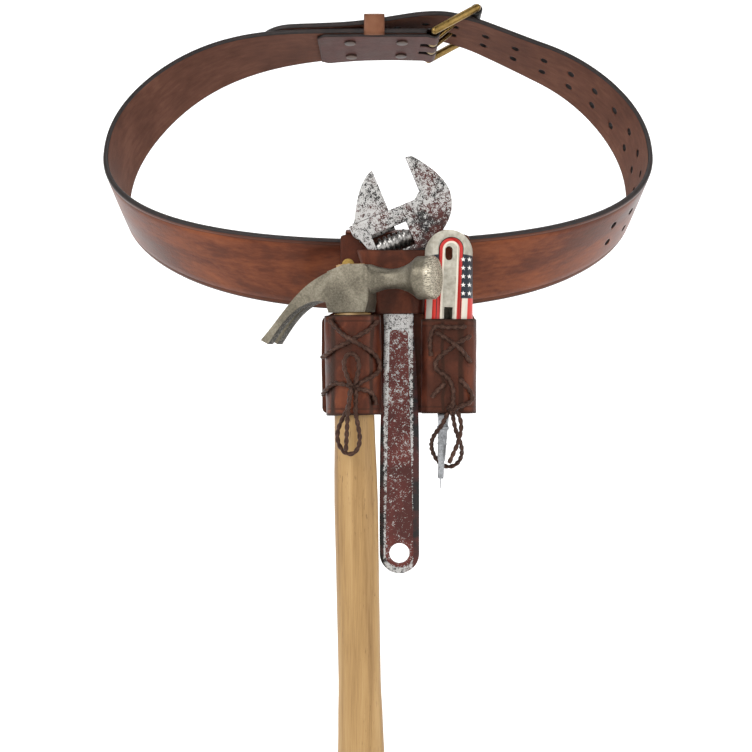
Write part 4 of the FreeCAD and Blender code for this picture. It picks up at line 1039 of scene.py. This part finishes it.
def line_points(name, route):
    """Points close together along the NURBS line with these control points, in metres."""
    data = bpy.data.curves.new(name + "_line", "CURVE")
    data.dimensions = "3D"
    spline = data.splines.new("NURBS")
    spline.points.add(len(route) - 1)
    for point, place in zip(spline.points, route):
        point.co = (*((Vector(place) + HANG) * MM), 1.0)
    spline.order_u = 3
    spline.use_endpoint_u = True
    spline.resolution_u = 14
    obj = linked(name + "_line", data)
    graph = bpy.context.evaluated_depsgraph_get()
    mesh = bpy.data.meshes.new_from_object(obj.evaluated_get(graph), depsgraph=graph)
    points = [v.co.copy() for v in mesh.vertices]
    bpy.data.objects.remove(obj)
    bpy.data.meshes.remove(mesh)
    return even_points(points, 0.0006)


def even_points(points, step):
    out = [points[0]]
    left = step
    for a, b in zip(points, points[1:]):
        span = (b - a).length
        while span > left:
            a = a + (b - a) * (left / span)
            out.append(a)
            span = (b - a).length
            left = step
        left -= span
    if (out[-1] - points[-1]).length < step * 0.4:
        out.pop()
    out.append(points[-1])
    return out


def thong_mesh(name, points, twist=0.0085, strand=0.00098, apart=0.00052):
    """Two rolled strands twisted together along the points, in metres."""
    side = Vector((0, 1, 0.2))
    rings = []
    runs = []
    run = 0.0
    for i, point in enumerate(points):
        ahead = points[min(i + 1, len(points) - 1)] - points[max(i - 1, 0)]
        ahead.normalize()
        side = (side - ahead * side.dot(ahead)).normalized()
        across = ahead.cross(side)
        if i:
            run += (point - points[i - 1]).length
        thin = 1.0 - 0.35 * max(0.0, 1 - min(run, 0.001) / 0.001)
        turn = 2 * math.pi * run / twist
        ring = []
        for j in range(THONG_SIDES):
            a = 2 * math.pi * j / THONG_SIDES
            near = apart * abs(math.cos(a - turn))
            r = near + math.sqrt(strand ** 2 - (apart * math.sin(a - turn)) ** 2)
            r *= thin
            ring.append((point + side * (r * math.cos(a)) + across * (r * math.sin(a))) / MM)
        rings.append(ring)
        runs.append(run)
    ways = [THONG_GIRTH * j / THONG_SIDES for j in range(THONG_SIDES + 1)]
    return ring_mesh(name, rings, ways, runs), run


def add_thong(name, ending, points, mat, **strands):
    """The thong along these points and its length, in metres."""
    mesh, length = thong_mesh(name, points, **strands)
    obj = add_object(name + ending, mesh, "belt")
    mesh.materials.append(mat)
    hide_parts(name)
    return obj, length


def make_laces(mats):
    routes = {name: [on_sleeve(*place) for place in route] for name, route in HAMMER_LACES.items()}
    routes.update({name: [on_pocket(*place) for place in route] for name, route in KNIFE_LACES.items()})
    for name, route in routes.items():
        add_thong(name, "_thong", line_points(name, route), mats["thong"])
    for name, route in FREE_CORDS.items():
        points = line_points(name, route)
        obj, length = add_thong(name, "_thong", points, mats["thong"])
    for name, place in (("hammer_knot", HAMMER_KNOT), ("knife_knot", KNIFE_KNOT)):
        centre = Vector(place) + HANG
        points = []
        for i in range(KNOT_STEPS + 1):
            a = 2 * math.pi * i / KNOT_STEPS
            x = 1.15 * (math.sin(a) + 1.5 * math.sin(2 * a))
            z = 1.05 * (math.cos(a) - 1.5 * math.cos(2 * a))
            y = -1.1 * math.sin(3 * a)
            points.append((centre + Vector((x, y, z))) * MM)
        add_thong(name, "_tie", points, mats["thong"], twist=0.006)


# -------------------- leather pieces and tools

def waves(amount, scale, seed):
    shift = Vector((seed, 0.4 * seed, 0))
    return lambda co: amount * noise.noise(co * scale + shift)


# node: material, voxel size in mm, rounds of smoothing, and the waves' height, scale and seed
SOFT_PIECES = {
    "holster_panel": ("holster", 1.0, 3, 0.45, 38.0, 1.0),
    "holster_flap": ("holster", 1.0, 3, 0.4, 45.0, 2.0),
    "wrench_loop": ("pouch", 0.8, 4, 0.35, 90.0, 3.0),
    "hammer_sleeve": ("sleeve", 0.7, 3, 0.3, 90.0, 4.0),
    "sleeve_welt": ("pouch", 0.7, 3, 0.3, 80.0, 5.0),
    "knife_pocket": ("pocket", 0.6, 2, 0.2, 110.0, 6.0),
    "pocket_welt": ("pouch", 0.6, 3, 0.3, 90.0, 7.0),
}
# body, slot, material, bevel in mm (and its edge angle and segments): nodes
HARD_PIECES = {
    ("belt", "brass_rivet", "dark_rivet", 0.25): [f"fold_rivet_{i + 1}" for i in range(4)],
    ("belt", "brass_rivet", "brass", 0.25): ["stud_front", "stud_back_1", "stud_back_2", "stud_back_3"],
    ("frame", "brass_buckle", "buckle", 0.0): ["buckle_frame"],
    ("roller", "roller_steel", "roller", 0.4): ["buckle_roller"],
    ("prong_a", "brass_buckle", "buckle", 0.2): ["prong_upper"],
    ("prong_b", "brass_buckle", "buckle", 0.2): ["prong_lower"],
    ("hammer", "hammer_wood", "wood", 0.5): ["hammer_handle"],
    ("hammer", "hammer_steel", "head", 0.6, 30, 3): ["hammer_head"],
    ("hammer", "wedge_wood", "wedge_wood", 0.0): ["hammer_wood_wedge"],
    ("hammer", "hammer_steel", "wedge_steel", 0.0): ["hammer_steel_wedge"],
    ("wrench", "wrench_paint", "wrench", 0.5): ["wrench_body"],
    ("wrench", "wrench_steel", "worm", 0.2): ["worm_pin"],
    ("jaw", "wrench_steel", "wrench", 0.4): ["wrench_jaw"],
    ("worm", "wrench_steel", "worm", 0.15): ["wrench_worm"],
    ("knife", "knife_paint", "knife", 0.0): ["knife_shell_left", "knife_shell_right", "knife_inlay"],
    ("knife", "knife_metal", "nose", 0.4): ["knife_nose"],
    ("blade", "knife_metal", "nose", 0.2): ["knife_carrier"],
    ("blade", "knife_metal", "knife", 0.2): ["knife_slider"],
    ("blade", "blade_steel", "blade", 0.0): ["knife_blade"],
}


def make_pieces(mats):
    for node, (mat, voxel, rounds, height, scale, seed) in SOFT_PIECES.items():
        soft_copy(node, mats[mat], voxel, rounds, waves(height, scale, seed))
    for (body, slot, mat, *edges), nodes in HARD_PIECES.items():
        for node in nodes:
            hard_copy(node, body, slot, mats[mat], *edges)


STAR_COLUMNS = (-12.6, -8.7, 8.7, 12.6)
STAR_TOP = -84.2
STAR_PITCH = 5.2
STAR_R = (1.55, 0.62)               # of its points and of its inner corners


def make_stars(mats):
    """Thin five-pointed stars laid on the dark field of the knife's handle."""
    bm = bmesh.new()
    front = KNIFE_Y - KNIFE_D / 2
    flat = KNIFE_W / 2 - KNIFE_CORNER
    for column in STAR_COLUMNS:
        for row in range(5):
            height = STAR_TOP - STAR_PITCH * row
            places = [(0.0, 0.0)]
            for i in range(10):
                a = math.pi / 2 + math.pi * i / 5
                r = STAR_R[i % 2]
                places.append((r * math.cos(a), r * math.sin(a)))
            verts = []
            for dx, dz in places:
                past = max(0.0, abs(column + dx) - flat)
                y = front + KNIFE_CORNER - math.sqrt(KNIFE_CORNER ** 2 - min(past, 6.2) ** 2) - 0.14
                at = Vector((KNIFE_X + column + dx, y, height + dz)) + HANG
                verts.append(bm.verts.new(at * MM))
            for i in range(10):
                bm.faces.new((verts[0], verts[1 + i], verts[1 + (i + 1) % 10]))
    obj = add_object("knife_stars", mesh_of("knife_stars", bm, mats["star"]), "knife")
    mod = obj.modifiers.new("thick", "SOLIDIFY")
    mod.thickness = 0.1 * MM
    applied(obj)


def main():
    place_camera()
    light_scene()
    floor_sweep()
    mats = build_materials()
    make_strap(mats)
    make_fold(mats)
    make_keeper(mats)
    make_laces(mats)
    make_pieces(mats)
    make_stars(mats)


main()
